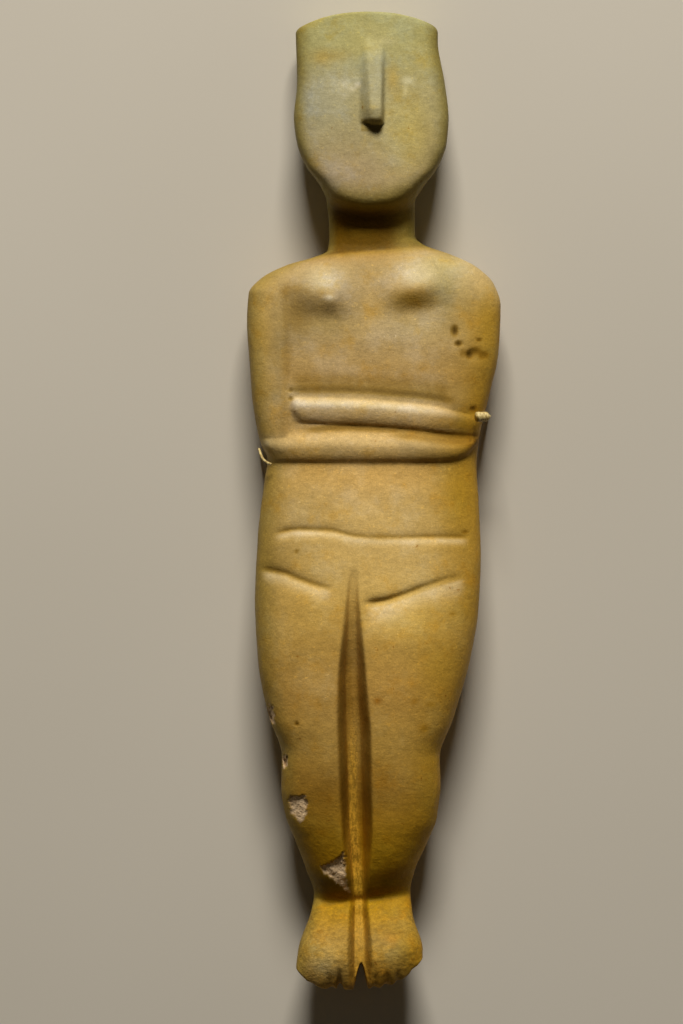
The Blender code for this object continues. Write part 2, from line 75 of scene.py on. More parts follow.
# ---- body, as in the CAD
CROWN_FALL = 4.4  # fall of the crown line at CROWN_REACH from its middle
CROWN_REACH = 27
CROWN_MIDDLE = -0.5
CROWN_POWER = 2.35
CROWN_ROUND = 4  # rounding at the crown: of its sides, its front and its back
CROWN_FRONT_ROUND = 1.3
CROWN_BACK_ROUND = 7
TOE_ROUND = 2.4  # and at the toes: of their front, their sides and their soles
TOE_SIDE_ROUND = 2.5
TOE_SOLE_ROUND = 2
HEAD_BEND = 60  # how far from the ends rows bend: for the crown, the feet and the toe tips
FOOT_BEND = 55
TIP_BEND = 9
NOTCH_LENGTH = 10  # of the notch between the feet
NOTCH_MIDDLE = 0.3
NOTCH_HALF = 3.7
NOTCH_SLANT = 3.7  # width of each slanting side of it
# Rounded ends of the feet: rise, where it starts, its reach and power.
MINUS_CORNER = (7, 14.5, 11.5, 2.2)
PLUS_CORNER = (11.7, 6, 19.5, 2.4)
PLUS_CORNER_STEP = (0.6, 3, 5)  # a further rise, and x over which it grows
CORNERS_SHAPE = (12, 44)  # rows between which the side view starts to follow them
LEAST_THICKNESS = 2.5

# A span of x or y is (from, to, reach of its fade at both ends).
NECK_HALF = 18
CHIN_RISE = 4  # of the chin line at NECK_HALF from its middle
CHIN_SPAN = (316, 328, 12)
ANKLE_HEIGHT = 35.5
ANKLE_SPAN = (28, 44, 8)

# Half-widths on the -X and the +X side: (y, half-width).
MINUS_SIDE = (
    (0, 25.8), (8, 26.2), (16, 25.4), (30, 20.7), (38, 19.4), (48, 22.6), (60, 27.3), (70, 31.4),
    (82, 33.3), (95, 33.2), (110, 38.5), (135, 43.5), (160, 44.9), (180, 44.3), (206, 41.8),
    (216, 40.5), (222, 43.2), (232, 45.6), (250, 47.9), (274, 49.5), (284, 49), (290, 44.3),
    (296, 33), (299, 23), (302, 17), (308, 16.3), (322, 17.4), (328, 20), (336, 26),
    (346, 30), (356, 31.3), (370, 30.4), (384, 30.9), (400, 31.6),
)
PLUS_SIDE = (
    (0, 25), (8, 25.4), (16, 25.4), (30, 21.2), (40, 20.2), (48, 21.9), (60, 27), (70, 30.6),
    (84, 32), (95, 31.6), (110, 36.6), (135, 43.3), (155, 46.5), (176, 47.4), (200, 46.3),
    (216, 45.3), (222, 45.7), (230, 47), (245, 50.6), (262, 53.7), (280, 54.3), (289, 51.6),
    (296, 44.3), (301, 33.5), (305, 22), (308, 19), (322, 18.7), (328, 21.8), (336, 27.6),
    (346, 31.4), (356, 32.2), (372, 30.4), (388, 27.5), (400, 27.4),
)

# Side view: (y, back, widest line, front, squareness of the front, squareness of the back).
DEPTHS = (
    (0, 24.6, 27, 31.4, 2.5, 2.4), (4, 18, 25.4, 33.6, 2.6, 2.4),
    (8, 12.5, 23.4, 35.2, 2.7, 2.4), (13, 7.5, 21.2, 36.2, 2.7, 2.4),
    (16, 5.2, 20.2, 35.7, 2.7, 2.4), (20, 3, 19, 34, 2.6, 2.4),
    (28, 4.5, 17, 28.8, 2.5, 2.4),
    (34, 6, 15.5, 23.6, 2.4, 2.4), (36.5, 6.5, 14.6, 21.4, 2.3, 2.4),
    (42, 5.5, 15.2, 25.4, 2.2, 2.4), (50, 3.6, 16.8, 30.2, 2.2, 2.4),
    (62, 2, 18.3, 34.6, 2.3, 2.4), (75, 3, 20, 37.4, 2.4, 2.4),
    (92, 6, 22, 40.2, 2.4, 2.4), (110, 4.5, 22, 42.2, 2.4, 2.4),
    (125, 2.6, 21.6, 42.9, 2.4, 2.4), (140, 1, 21, 42.9, 2.5, 2.5),
    (155, -0.5, 20.2, 41.8, 2.6, 2.6), (170, -0.5, 19.5, 39.3, 2.7, 2.7),
    (182, 0.3, 19, 37.2, 2.8, 2.7), (200, 3.5, 18.5, 34.4, 2.9, 2.7),
    (214, 4, 18, 33, 3, 2.7), (240, 1, 17.5, 34, 3.1, 2.8),
    (262, -0.4, 17.5, 34.2, 3.1, 2.8), (284, -0.4, 17, 32.6, 3, 2.8),
    (296, 2.5, 16.5, 29.4, 2.6, 2.5), (299.5, 4, 16.4, 27.6, 2.4, 2.3),
    (302, 5.2, 16.3, 25.2, 2.3, 2.2), (305, 6.2, 16.3, 24.6, 2.2, 2.2),
    (311, 7, 16.6, 24.7, 2.2, 2.2), (314.5, 6.9, 17.2, 25, 2.3, 2.2),
    (316.2, 6.8, 17.6, 25.6, 2.5, 2.2), (317.3, 6.7, 18.1, 27.6, 2.8, 2.2),
    (318.8, 6.6, 18.6, 31, 3.2, 2.3), (320.6, 6.4, 19.1, 33.5, 3.6, 2.3),
    (323, 6.2, 19.4, 34.6, 4, 2.3), (325.5, 5.8, 19.4, 34.9, 4.3, 2.3),
    (334, 4, 19, 34, 4.5, 2.4), (352, 1, 17, 31.2, 4.3, 2.4),
    (370, -0.4, 14.5, 28, 4.2, 2.4), (385, -0.4, 13, 24.9, 4.2, 2.4),
    (400, 4, 12.5, 21.4, 4, 2.4),
)

NOSE_ROOT = 390  # where the nose starts on the forehead
NOSE_PEAK = 359  # where its ridge stands highest
NOSE_TIP = 355.3
NOSE_FOOT = 352.6  # where its underside meets the face
NOSE_LIFT = 6.7
NOSE_DROOP = 0.9  # fall of the ridge from its peak to the tip
# Feet and tops of its two walls, from -X to +X: foot, top, top, foot.
NOSE_WALLS_AT_ROOT = (-4.9, -1.8, 4.1, 6.2)
NOSE_WALLS_AT_TIP = (-5.1, 0.6, 4.1, 5.8)
NOSE_HALF = 3  # half-width of the ridge
NOSE_RIDGE_FALL = 0.08  # share by which the ridge falls at its edges
NOSE_TIP_CURVE = 0.5  # how much higher the tip ends at its edges
NOSE_TIP_ROUND = 0.6  # how far above the tip it starts to round
NOSE_START = (-0.02, 0.16)  # shares of its length over which it parts from the forehead

BREASTS = (  # middle x, y of the crest, half-width, reach up, reach down, lift, lean
    (-19, 284, 10.8, 11.5, 12.2, 3.7, -0.08),
    (18.6, 286.8, 11.6, 12, 11.8, 4, 0.13),
)
NIPPLE = (-15.5, 281.2, 2.7, 2.6, 8, 0.5, 0)

UPPER_FOREARM = (2.2, 0.48, 0.75)  # lift over the chest, place of the crest, fullness below it
LOWER_FOREARM = (2.6, 0.42, 0.66)
FOREARM_SINK = (28, 45)  # x between which the upper one sinks by SINK_SHARE
SINK_SHARE = 0.55
HAND_ENDS = (-32, -28.4)  # x where the hand starts and is full, at HAND_TOP
HAND_SLANTS = (0.25, 0.6)  # their shift for each unit further down
HAND_TOP = 236
HAND_REACH = 20  # how far down the slant goes
FOREARM_SKIRT = 0.4  # fillet under the lower forearm
SKIRT_REACH = 1.1
SKIRT_TOP = 224
HOLLOW = 2  # depth of the hollow above the forearms
HOLLOW_BELOW_TOP = 1.4
HOLLOW_REACH_UP = 6
HOLLOW_REACH_DOWN = 2.7
HOLLOW_SPAN = (-26, 40, 8)
ARM_INNER_EDGE = ((229, 32.2), (287, 37))  # y, distance from the middle line
ARM_EDGE_SLOPE = (-1.6, 1.8)  # where the arm starts to rise and is full, past that edge
MINUS_ARM_LIFT = ((236, 1.2), (270, 0.6))  # y, lift: more towards the elbow
MINUS_ARM_SPAN = (224, 280, 10)
PLUS_ARM_LIFT = 0.45
PLUS_ARM_SPAN = (240, 282, 10)

# Curves drawn across the front: (x, y).
UPPER_ARM_TOP = (
    (-31, 244.4), (-12, 244.5), (0, 244.2), (10, 243.5), (24, 242.2), (41, 239.6), (50, 238.4),
)
ARM_CUT = (
    (-50, 230.6), (-31, 231), (-15, 230.5), (-7, 230.2), (7, 229.6), (22, 228.4), (34.6, 227),
    (45.5, 226.5), (50, 226.3),
)
LOWER_ARM_TOP = (
    (-50, 227.6), (-38, 228.2), (-31, 228.4), (-23, 228.9), (-15, 229.7), (-7, 230.1), *ARM_CUT[4:],
)
LOWER_ARM_FOOT = (
    (-50, 214.9), (-38, 214.7), (17, 215.3), (32, 215.8), (37, 216.7), (40.8, 218.5), (44, 221.6),
    (46.5, 225.2),
)
BELLY_LINE = ((-38, 185.6), (-26, 187.5), (-15, 187.2), (-4, 185), (7, 184.5), (32, 185.1), (43, 185.1))
GROIN_MINUS = ((-43.5, 171.6), (-33, 169.7), (-26, 167), (-19, 164.9), (-12, 163.4))
GROIN_PLUS = ((-1, 157.9), (7, 158.9), (15, 161.4), (25, 165.3), (34, 168.3), (42, 170.4))
ANKLE_LINE = ((-20, 36.2), (-12, 33.9), (-4, 34.5), (3, 35.2), (20, 37.6))
# Incisions: curve, depths at its ends, reach of its steep upper and its gentle lower side.
INCISIONS = (
    (BELLY_LINE, (1.35, 0.95), 2.2, 4.8), (GROIN_MINUS, (1.9, 0.9), 1.9, 9),
    (GROIN_PLUS, (2.5, 0.2), 1.3, 15),
)
BELLY_GAP = (4, 14, 0.5)  # the belly line is fainter here: middle x, reach, share lost
CUT_ROUND = 0.3  # rounding of a cut's bottom
CUT_LIP = 0.35  # share of a cut's lower side, in reach and in depth, that is steep

# The groove between the legs: (y, middle x, half-width, depth).
LEG_GROOVE = (
    (0, 0, 4.9, 3), (8, -0.1, 5, 6), (15, -0.3, 5.1, 7.6), (28, -0.7, 4.4, 7.6),
    (34, -0.9, 4, 4.9), (37, -1, 4, 4.4), (42, -1.2, 4.4, 7.2), (51, -1.5, 5.4, 11.2),
    (60, -1.8, 6.2, 12.6), (75, -2.5, 6.7, 13.7), (102, -3.6, 7, 14), (129, -4.8, 5.8, 11),
    (144, -4.9, 4.4, 7), (159, -5, 3, 2.4), (172, -4.6, 2, 0),
)
# Foot and lip of its walls and reach of the thighs' fall towards it, in its half-widths.
MINUS_WALL = (0.42, 1.1)
PLUS_WALL = (0.3, 1.06)
THIGH_REACH = 2.3
THIGH_FALL = 0.1  # share of the groove's depth

# Soft cuts in the back: depth, span of y, half-width.
SPINE = (1.4, (212, 290, 10), 5)
ARM_LINES = (0.9, (236, 280, 8), 3.2)
CLEFT = (6, (34, 118, 30), 7.5)
ARM_LINE_OUT = 33  # distance of the arm lines from the middle line

# Shares of the front's rise at which the carving and the least thickness are full.
CARVING_FULL = 0.6
THICKNESS_FULL = 0.5

# ---- fine relief
# Broken places: corners (x, y), depth at the upper and the lower end, facet size.
CHIPS = (
    (((-30.6, 75.6), (-29, 78.4), (-23.6, 79.2), (-22.2, 76.4), (-22.8, 71.4), (-25.2, 67.8),
      (-29, 71.2)), 1.1, 0.15, 1.9),
    (((-16.6, 50), (-11, 52.2), (-7.6, 56), (-6.4, 52), (-5.9, 43.8), (-4.6, 38.5),
      (-7.9, 41.4), (-12.8, 45.4), (-16, 47.6)), 1.15, 0.1, 2.6),
)
CHIP_EASE = (1.6, 0.5)  # reach of the slope inside the rim, at the lower and the upper end
CHIP_LEAST = 0.12
CHIP_START = -0.35  # where the slope and the fresh stone start, from the rim
FRESH_START = -0.3
FRESH_EASE = 0.7  # share of the slope's reach where fresh stone is full
RIM_MARGIN = 1.6  # stone further outside a rim is whole, and EDGE_MARGIN for an edge chip
EDGE_MARGIN = 0.8
# Hollows broken out of the thigh's -X edge: x, y and z of the middle, half-sizes.
EDGE_CHIPS = ((-40.5, 111.2, 31, 4.6, 5.4, 6.2), (-34, 93, 30, 3.6, 2.6, 5))
EDGE_CHIP_DEPTH = 5  # at most
# Unevenness of broken stone: how much its facets add, their size, and the first seed.
CHIP_RIM = (1.7, 1.3, 30)
CHIP_FLOOR = (0.45, 20)  # their size is in CHIPS
EDGE_RIM = (1.1, 1.7, 50)
EDGE_FLOOR = (0.35, 1.3, 40)
FACET_TILT = 0.25
FACET_STEP = 0.3
FEWEST_FACETS = 6
# Pits: x, y, their half-sizes, depth, how dark.
PITS = (
    (35.3, 269.2, 1.2, 2, 0.8, 1), (36.9, 263.9, 1.3, 1, 0.7, 1),
    (41.6, 259.6, 1.5, 1.5, 1, 1), (43.8, 261, 2.2, 1.4, 0.35, 0.7),
    (47.2, 259.4, 2.1, 1.4, 0.35, 0.6), (45.4, 265.6, 1, 0.6, 0.3, 0.8),
    (38.7, 260, 1.2, 1.5, 0.15, 0.4), (-31.2, 244.2, 0.9, 0.8, 0.4, 0.7),
    (-31.2, 240.7, 0.8, 0.8, 0.4, 0.6), (-27.1, 108.8, 0.8, 0.6, 0.5, 1),
    (43.4, 237.4, 1.4, 1, 0.5, 0.8), (42.4, 224.6, 0.9, 0.7, 0.3, 0.8),
    (40.6, 187.2, 1.2, 0.8, 0.2, 0.5), (-28, 178.6, 0.8, 0.7, 0.2, 0.6),
)
# Notches between the worn toes: x, y of the top, half-width, depth, step back of the tips.
TOE_NOTCHES = (
    (-19.6, 7, 2.2, 0.3, 0.4), (-12.4, 8.5, 2.4, 0.4, 0.9), (-8.6, 10, 1.5, 0.7, 2.8),
    (6.4, 9, 1.6, 0.4, 0.7), (11.2, 9, 2.2, 0.4, 1.3), (15.6, 10, 1.6, 0.5, 0.6),
    (21.8, 11, 1.8, 0.6, 0.4),
)
TOE_STEP_WIDTH = 1.2  # width of a step back, in widths of its notch
TOE_NOTCH_FADE = 4
HAND_WORK = ((17, 0.16), (7.5, 0.09), (2.6, 0.035), (1.3, 0.02))  # size and depth of the unevenness

# ---- density of the fine mesh
ROWS = 560  # the back has half as many
FRONT_COLUMNS = 140
BACK_COLUMNS = 52
BACK_INSET = 0.992  # where the back's mesh starts, just behind the widest line
SPREAD_SAMPLES = 4001
# Where rows and columns lie closer together: middle, reach, extra density.
ROW_FOCUS = (
    (399, 4, 3), (356, 5, 1.2), (321, 7, 1.5), (300, 8, 0.6), (284, 9, 0.6), (266, 6, 0.5),
    (229, 16, 1), (186, 4, 0.8), (165, 9, 0.5), (73, 9, 1), (48, 12, 1.2), (36, 3, 1.4),
    (4, 6, 1.4),
)
COLUMN_FOCUS = ((-0.05, 0.14, 1.6), (-0.5, 0.2, 0.5), (0.5, 0.16, 0.3))
BACK_FOCUS = ((0, 0.12, 4),)


# ---- curves and soft steps
def smooth_through(stations, column, at):
    """Value of one column at the given places: a monotone cubic through the stations."""
    keys, values = (np.array([row[k] for row in stations], float) for k in (0, column))
    steps = np.diff(keys)
    slopes = np.diff(values) / steps
    same_way = slopes[:-1] * slopes[1:] > 0
    weights = 2 * steps[1:] + steps[:-1], steps[1:] + 2 * steps[:-1]
    safe = (np.where(same_way, side, 1) for side in (slopes[:-1], slopes[1:]))
    harmonic = sum(weights) / sum(weight / slope for weight, slope in zip(weights, safe))
    tangents = np.concatenate([slopes[:1], np.where(same_way, harmonic, 0), slopes[-1:]])
    at = np.clip(at, keys[0], keys[-1])
    span = np.clip(np.searchsorted(keys, at, side="right") - 1, 0, len(steps) - 1)
    t = (at - keys[span]) / steps[span]
    bend = t * (1 - t) * (tangents[span] * (1 - t) - tangents[span + 1] * t)
    rise = t * t * (3 - 2 * t)
    return values[span] * (1 - rise) + values[span + 1] * rise + steps[span] * bend


def line_at(curve, x):
    return smooth_through(curve, 1, x)


def ramp(stations, at):
    """Straight lines through (place, value) stations, level past both ends."""
    places, values = zip(*stations)
    return np.interp(at, places, values)


def clamped(value, high=1):
    return np.clip(value, 0, high)


def soft_step(value, start, end):
    """0 before start, 1 after end, smooth between."""
    t = clamped((value - start) / (end - start))
    return t * t * (3 - 2 * t)


def window(value, low, high, fade):
    """1 between low and high, fading to 0 outside."""
    return soft_step(value, low - fade, low) * (1 - soft_step(value, high, high + fade))


def bell(offset, reach, power=2):
    """1 in the middle, falling softly to 0 on both sides."""
    return np.exp(-(np.abs(offset / reach) ** power))


def trough(offset, half):
    """Cross-section of a rounded cut: 1 in its middle and 0 from half on."""
    return clamped(1 - (offset / half) ** 2) ** 2


def cosine_fall(t):
    """From 1 at 0 to 0 at 1, level at both ends."""
    return (1 + np.cos(np.pi * clamped(t))) / 2


def oval(x, y, middle_x, middle_y, half_x, half_y):
    """Squared distance from the middle of an oval: 1 on its rim."""
    return ((x - middle_x) / half_x) ** 2 + ((y - middle_y) / half_y) ** 2


def spread(low, high, count, focus):
    """Count + 1 places from low to high, closer together around each (middle, reach, extra)."""
    fine = np.linspace(low, high, SPREAD_SAMPLES)
    density = 1 + sum(extra * bell(fine - middle, reach) for middle, reach, extra in focus)
    running = np.concatenate([[0], np.cumsum((density[1:] + density[:-1]) / 2)])
    return np.interp(np.linspace(0, running[-1], count + 1), running, fine)


def lattice_noise(points, size, seed):
    """Smooth noise from -1 to 1 in space, with features about size across."""
    period = 16
    table = np.random.default_rng(seed).uniform(-1, 1, (period, period, period))
    place = points / size
    cell = np.floor(place).astype(int)
    part = place - cell
    part = part * part * (3 - 2 * part)
    total = 0
    for corner in np.ndindex(2, 2, 2):
        offset = np.array(corner)
        weight = np.prod(np.where(offset == 1, part, 1 - part), axis=-1)
        index = (cell + offset) % period
        total = total + weight * table[index[..., 0], index[..., 1], index[..., 2]]
    return total


# ---- outlines at the two ends
def crown_line(x):
    """How far the crown's edge lies below its highest point."""
    return CROWN_FALL * (np.abs(x - CROWN_MIDDLE) / CROWN_REACH) ** CROWN_POWER


def notch_line(x):
    return NOTCH_LENGTH * soft_step(NOTCH_HALF - np.abs(x - NOTCH_MIDDLE), 0, NOTCH_SLANT)


def corner_line(x):
    """How far the rounded ends of the feet lie above the toe tips."""
    minus, plus = (
        rise * clamped((out - start) / reach, 1.2) ** power
        for out, (rise, start, reach, power) in ((-x, MINUS_CORNER), (x, PLUS_CORNER))
    )
    step, *across = PLUS_CORNER_STEP
    return minus + plus + step * soft_step(x, *across)


def toe_steps(x):
    """How far the tips step back at the notches between the toes."""
    return sum(
        back * trough(x - place_x, TOE_STEP_WIDTH * half) for place_x, _, half, _, back in TOE_NOTCHES
    )


def chin_curve(x, y):
    """How far the chin line lies above its middle."""
    return CHIN_RISE * (x / NECK_HALF) ** 2 * window(y, *CHIN_SPAN)


# ---- carving on the front
def mound(x, y, middle, crest, half, up, down, lift, lean):
    """A breast: it rises softly out of the chest and drops more steeply below its crest."""
    above = y - crest - lean * (x - middle)
    profile = np.where(above > 0, bell(above, up, 1.5), cosine_fall(-above / down))
    return lift * profile * bell(x - middle, half, 2.6)


def bar(x, y, top_curve, foot_curve, lift, crest, foot_power):
    """A rounded bar between two curves, such as a forearm: soft above its crest, fuller below."""
    top = line_at(top_curve, x)
    foot = line_at(foot_curve, x)
    t = (y - foot) / (top - foot)
    below = clamped((crest - t) / crest)
    return lift * np.where(t > crest, cosine_fall((t - crest) / (1 - crest)), (1 - below**2) ** foot_power)


def line_ends(curve, x, inset, fade):
    """1 along a curve, fading to 0 at both of its ends."""
    return window(x, curve[0][0] + inset, curve[-1][0] - inset, fade)


def depth_along(curve, x, depths):
    return np.interp(x, [curve[0][0], curve[-1][0]], depths)


def incision(x, y, curve, depths, upper_reach, lower_reach):
    """A cut with a steep upper side and a gentle lower one, thinning out at its ends."""
    depth = depth_along(curve, x, depths) * line_ends(curve, x, 6, 7)
    if curve is BELLY_LINE:
        middle, reach, share = BELLY_GAP
        depth = depth * (1 - share * bell(x - middle, reach))
    above = y - line_at(curve, x)
    upper = np.exp(-(np.sqrt(above**2 + CUT_ROUND**2) - CUT_ROUND) / upper_reach)
    gentle = (1 - clamped(-above / lower_reach) ** 1.4) ** 2
    lip = (1 - clamped(-above / (CUT_LIP * lower_reach))) ** 2
    return -depth * np.where(above > 0, upper, (1 - CUT_LIP) * gentle + CUT_LIP * lip)


def nose(x, y):
    """A bar that rises from the forehead, with a flat ridge and a drooping, rounded tip."""
    along = clamped((NOSE_ROOT - y) / (NOSE_ROOT - NOSE_PEAK))
    down = clamped((NOSE_ROOT - y) / (NOSE_ROOT - NOSE_TIP))
    left_foot, left_top, right_top, right_foot = (
        root + (tip - root) * down for root, tip in zip(NOSE_WALLS_AT_ROOT, NOSE_WALLS_AT_TIP)
    )
    across = soft_step(x, left_foot, left_top) * (1 - soft_step(x, right_top, right_foot))
    off_ridge = (x - (left_top + right_top) / 2) / NOSE_HALF
    ridge = 1 - NOSE_RIDGE_FALL * clamped(np.abs(off_ridge), 1.2) ** 2
    level = y - NOSE_TIP_CURVE * clamped(off_ridge**2, 1.6)
    droop = NOSE_DROOP * clamped((NOSE_PEAK - level) / (NOSE_PEAK - NOSE_TIP)) ** 1.3
    round_from = NOSE_TIP + NOSE_TIP_ROUND
    tip = np.sqrt(1 - clamped((round_from - level) / (round_from - NOSE_FOOT)) ** 2)
    return (NOSE_LIFT * along * soft_step(along, *NOSE_START) - droop) * across * ridge * tip


def forearms(x, y):
    """Two rounded bars that meet in a sharp cut; the upper one ends in a blunt hand at -X."""
    down = clamped(HAND_TOP - y, HAND_REACH)
    hand = soft_step(x, *(end + slant * down for end, slant in zip(HAND_ENDS, HAND_SLANTS)))
    hand = hand * (1 - SINK_SHARE * soft_step(x, *FOREARM_SINK))
    upper = hand * bar(x, y, UPPER_ARM_TOP, ARM_CUT, *UPPER_FOREARM)
    lower = bar(x, y, LOWER_ARM_TOP, LOWER_ARM_FOOT, *LOWER_FOREARM)
    off_top = y - line_at(UPPER_ARM_TOP, x) + HOLLOW_BELOW_TOP
    reach = np.where(off_top > 0, HOLLOW_REACH_UP, HOLLOW_REACH_DOWN)
    hollow = HOLLOW * bell(off_top, reach) * window(x, *HOLLOW_SPAN)
    below_foot = np.maximum(line_at(LOWER_ARM_FOOT, x) - y, 0)
    skirt = FOREARM_SKIRT * np.exp(-below_foot / SKIRT_REACH) * (y < SKIRT_TOP)
    return np.maximum.reduce([upper, lower, skirt]) - hollow


def upper_arms(x, y):
    """The upper arms stand a little proud of the chest, the -X one more towards its elbow."""
    start, full = ARM_EDGE_SLOPE
    past_edge = np.abs(x) - ramp(ARM_INNER_EDGE, y)
    minus = ramp(MINUS_ARM_LIFT, y) * window(y, *MINUS_ARM_SPAN)
    plus = PLUS_ARM_LIFT * window(y, *PLUS_ARM_SPAN)
    return soft_step(past_edge, start, full) * np.where(x < 0, minus, plus)


def groove_at(y):
    """Its middle, half-width and depth."""
    return [smooth_through(LEG_GROOVE, column, y) for column in (1, 2, 3)]


def leg_groove(x, y):
    """The cut between the legs: a flat floor between steep walls, the +X lip sharper."""
    middle, half, depth = groove_at(y)
    away = (x - middle) / half
    foot, lip = MINUS_WALL
    minus_wall = np.sin(np.pi / 2 * clamped((-away - foot) / (lip - foot)))
    channel = 1 - np.where(away < 0, minus_wall, soft_step(away, *PLUS_WALL))
    return -depth * (channel + THIGH_FALL * bell(away, THIGH_REACH))


def front_carving(x, y):
    cut = nose(x, y) + np.maximum(forearms(x, y), upper_arms(x, y))
    for breast in (*BREASTS, NIPPLE):
        cut = cut + mound(x, y, *breast)
    for cut_line in INCISIONS:
        cut = cut + incision(x, y, *cut_line)
    return cut


def back_carving(x, y):
    """Plain back: spine, arm lines, and the cleft between the legs.  Cuts are positive in z."""
    offsets = (x, np.abs(x) - ARM_LINE_OUT, x - groove_at(y)[0])
    return sum(
        depth * window(y, *span) * trough(offset, half)
        for offset, (depth, span, half) in zip(offsets, (SPINE, ARM_LINES, CLEFT))
    )


# ---- the body as one surface
def end_rounding(from_end, radius):
    """0 over the body, rising to 1 at one end of it along a quarter circle."""
    return 1 - np.sqrt(1 - clamped(1 - from_end / radius) ** 2)


def near_end(from_end, reach):
    """0 over the body, rising to 1 at one end of it."""
    return clamped(1 - from_end / reach) ** 2


def half_width(y, across):
    """Width from the middle line on the side that across lies on."""
    return np.where(across < 0, smooth_through(MINUS_SIDE, 1, y), smooth_through(PLUS_SIDE, 1, y))


def bent_y(along, across):
    """y of the surface points: rows bend to follow the crown and the toes."""
    x = across * half_width(along, across)
    crown = near_end(LENGTH - along, HEAD_BEND) * crown_line(x)
    feet = near_end(along, FOOT_BEND) * (notch_line(x) + corner_line(x))
    return along - crown + feet + near_end(along, TIP_BEND) * toe_steps(x)


def side_view_level(along, y, x):
    """y at which the side view is read, so that the chin and ankle lines can curve."""
    ankle = (line_at(ANKLE_LINE, x) - ANKLE_HEIGHT) * window(y, *ANKLE_SPAN)
    feet = notch_line(x) + corner_line(x) * soft_step(along, *CORNERS_SHAPE)
    level = np.where(along < FOOT_BEND, along + near_end(along, FOOT_BEND) * feet, y)
    return level - chin_curve(x, y) - ankle


def surface(along, across, front):
    """Points (x, y, z) of the front or back surface."""
    y = bent_y(along, across)
    crown = end_rounding(LENGTH - along, CROWN_ROUND)
    front_crown = end_rounding(LENGTH - along, CROWN_FRONT_ROUND)
    toes = end_rounding(along, TOE_ROUND)
    x = across * (half_width(y, across) - CROWN_ROUND * crown - TOE_SIDE_ROUND * toes)
    level = side_view_level(along, y, x)
    back_z, edge_z, front_z, front_square, back_square = (
        smooth_through(DEPTHS, column, level) for column in range(1, 6)
    )
    back_z = back_z + CROWN_BACK_ROUND * crown + TOE_SOLE_ROUND * toes
    front_z = front_z - CROWN_FRONT_ROUND * front_crown - TOE_ROUND * toes
    out = clamped(np.abs(across))

    back_dome = (1 - out**back_square) ** (1 / back_square)
    rear = np.maximum(edge_z - (edge_z - back_z) * back_dome, 0)
    rear = np.minimum(rear + back_carving(x, y) * back_dome, edge_z)
    if not front:
        return np.stack([x, y, rear], axis=-1)

    front_dome = (1 - out**front_square) ** (1 / front_square)
    face = edge_z + (front_z - edge_z) * front_dome
    carving = front_carving(x, y) + leg_groove(x, y)
    face = face + carving * soft_step(front_dome, 0, CARVING_FULL)
    least = rear + LEAST_THICKNESS * soft_step(front_dome, 0, THICKNESS_FULL)
    return np.stack([x, y, np.maximum(face, least)], axis=-1)


# ---- wear, chips, dirt and painted shade
def inside_distance(x, y, corners):
    """Distance from the rim of an outline, positive inside it."""
    place = x + 1j * y
    corners = [complex(*corner) for corner in corners]
    inside = np.zeros(x.shape, bool)
    nearest = np.full(x.shape, np.inf)
    for start, end in zip(corners, corners[1:] + corners[:1]):
        along = (place - start) / (end - start)
        nearest = np.minimum(nearest, np.abs((along - clamped(along.real)) * (end - start)))
        crosses = (start.imag > y) != (end.imag > y)
        inside ^= crosses & ((along.imag > 0) == (end.imag > start.imag))
    return np.where(inside, nearest, -nearest)


def facets(x, y, size, seed):
    """Broken crystalline stone: small flat cells, each with its own tilt and level."""
    rng = np.random.default_rng(seed)
    count = max(FEWEST_FACETS, int(np.ptp(x) * np.ptp(y) / size**2))
    centres = np.stack([rng.uniform(side.min(), side.max(), count) for side in (x, y)], axis=-1)
    tilts = rng.uniform(-FACET_TILT, FACET_TILT, (count, 2))
    levels = rng.uniform(-FACET_STEP, FACET_STEP, count)
    away = np.stack([x, y], axis=-1)[:, None, :] - centres
    nearest = np.argmin((away**2).sum(axis=-1), axis=-1)
    rows = np.arange(len(x))
    return levels[nearest] + (away[rows, nearest] * tilts[nearest]).sum(axis=-1)


def chip_relief(x, y):
    """Depth of the broken places and where their fresh stone shows."""
    depth = np.zeros_like(x)
    fresh = np.zeros_like(x)
    rim_share, rim_size, rim_seed = CHIP_RIM
    floor_share, floor_seed = CHIP_FLOOR
    for number, (corners, deep, shallow, size) in enumerate(CHIPS):
        rim = inside_distance(x, y, corners)
        there = rim > -RIM_MARGIN
        px, py = x[there], y[there]
        rim[there] += rim_share * facets(px, py, rim_size, rim_seed + number)
        foot, *_, top = sorted(corner[1] for corner in corners)
        up = clamped((py - foot) / (top - foot))
        level = shallow + (deep - shallow) * up + floor_share * facets(px, py, size, floor_seed + number)
        ease = CHIP_EASE[0] + (CHIP_EASE[1] - CHIP_EASE[0]) * up
        depth[there] += np.maximum(level, CHIP_LEAST) * soft_step(rim[there], CHIP_START, ease)
        shown = soft_step(rim[there], FRESH_START, FRESH_EASE * ease)
        fresh[there] = np.maximum(fresh[there], shown)
    return depth, fresh


def edge_chips(points):
    """How far z drops in the hollows broken out of the thigh's edge."""
    x, y, z = np.moveaxis(points, -1, 0)
    drop = np.zeros_like(x)
    rim_share, rim_size, rim_seed = EDGE_RIM
    floor_share, floor_size, floor_seed = EDGE_FLOOR
    for number, (mid_x, mid_y, mid_z, half_x, half_y, half_z) in enumerate(EDGE_CHIPS):
        inside = 1 - oval(x, y, mid_x, mid_y, half_x, half_y)
        near = inside > -EDGE_MARGIN
        inside[near] += rim_share * facets(x[near], y[near], rim_size, rim_seed + number)
        there = (inside > 0) & (z > mid_z - half_z)
        floor = mid_z - half_z * np.sqrt(inside[there])
        floor += floor_share * facets(x[there], y[there], floor_size, floor_seed + number)
        drop[there] = clamped(z[there] - floor, EDGE_CHIP_DEPTH)
    return drop


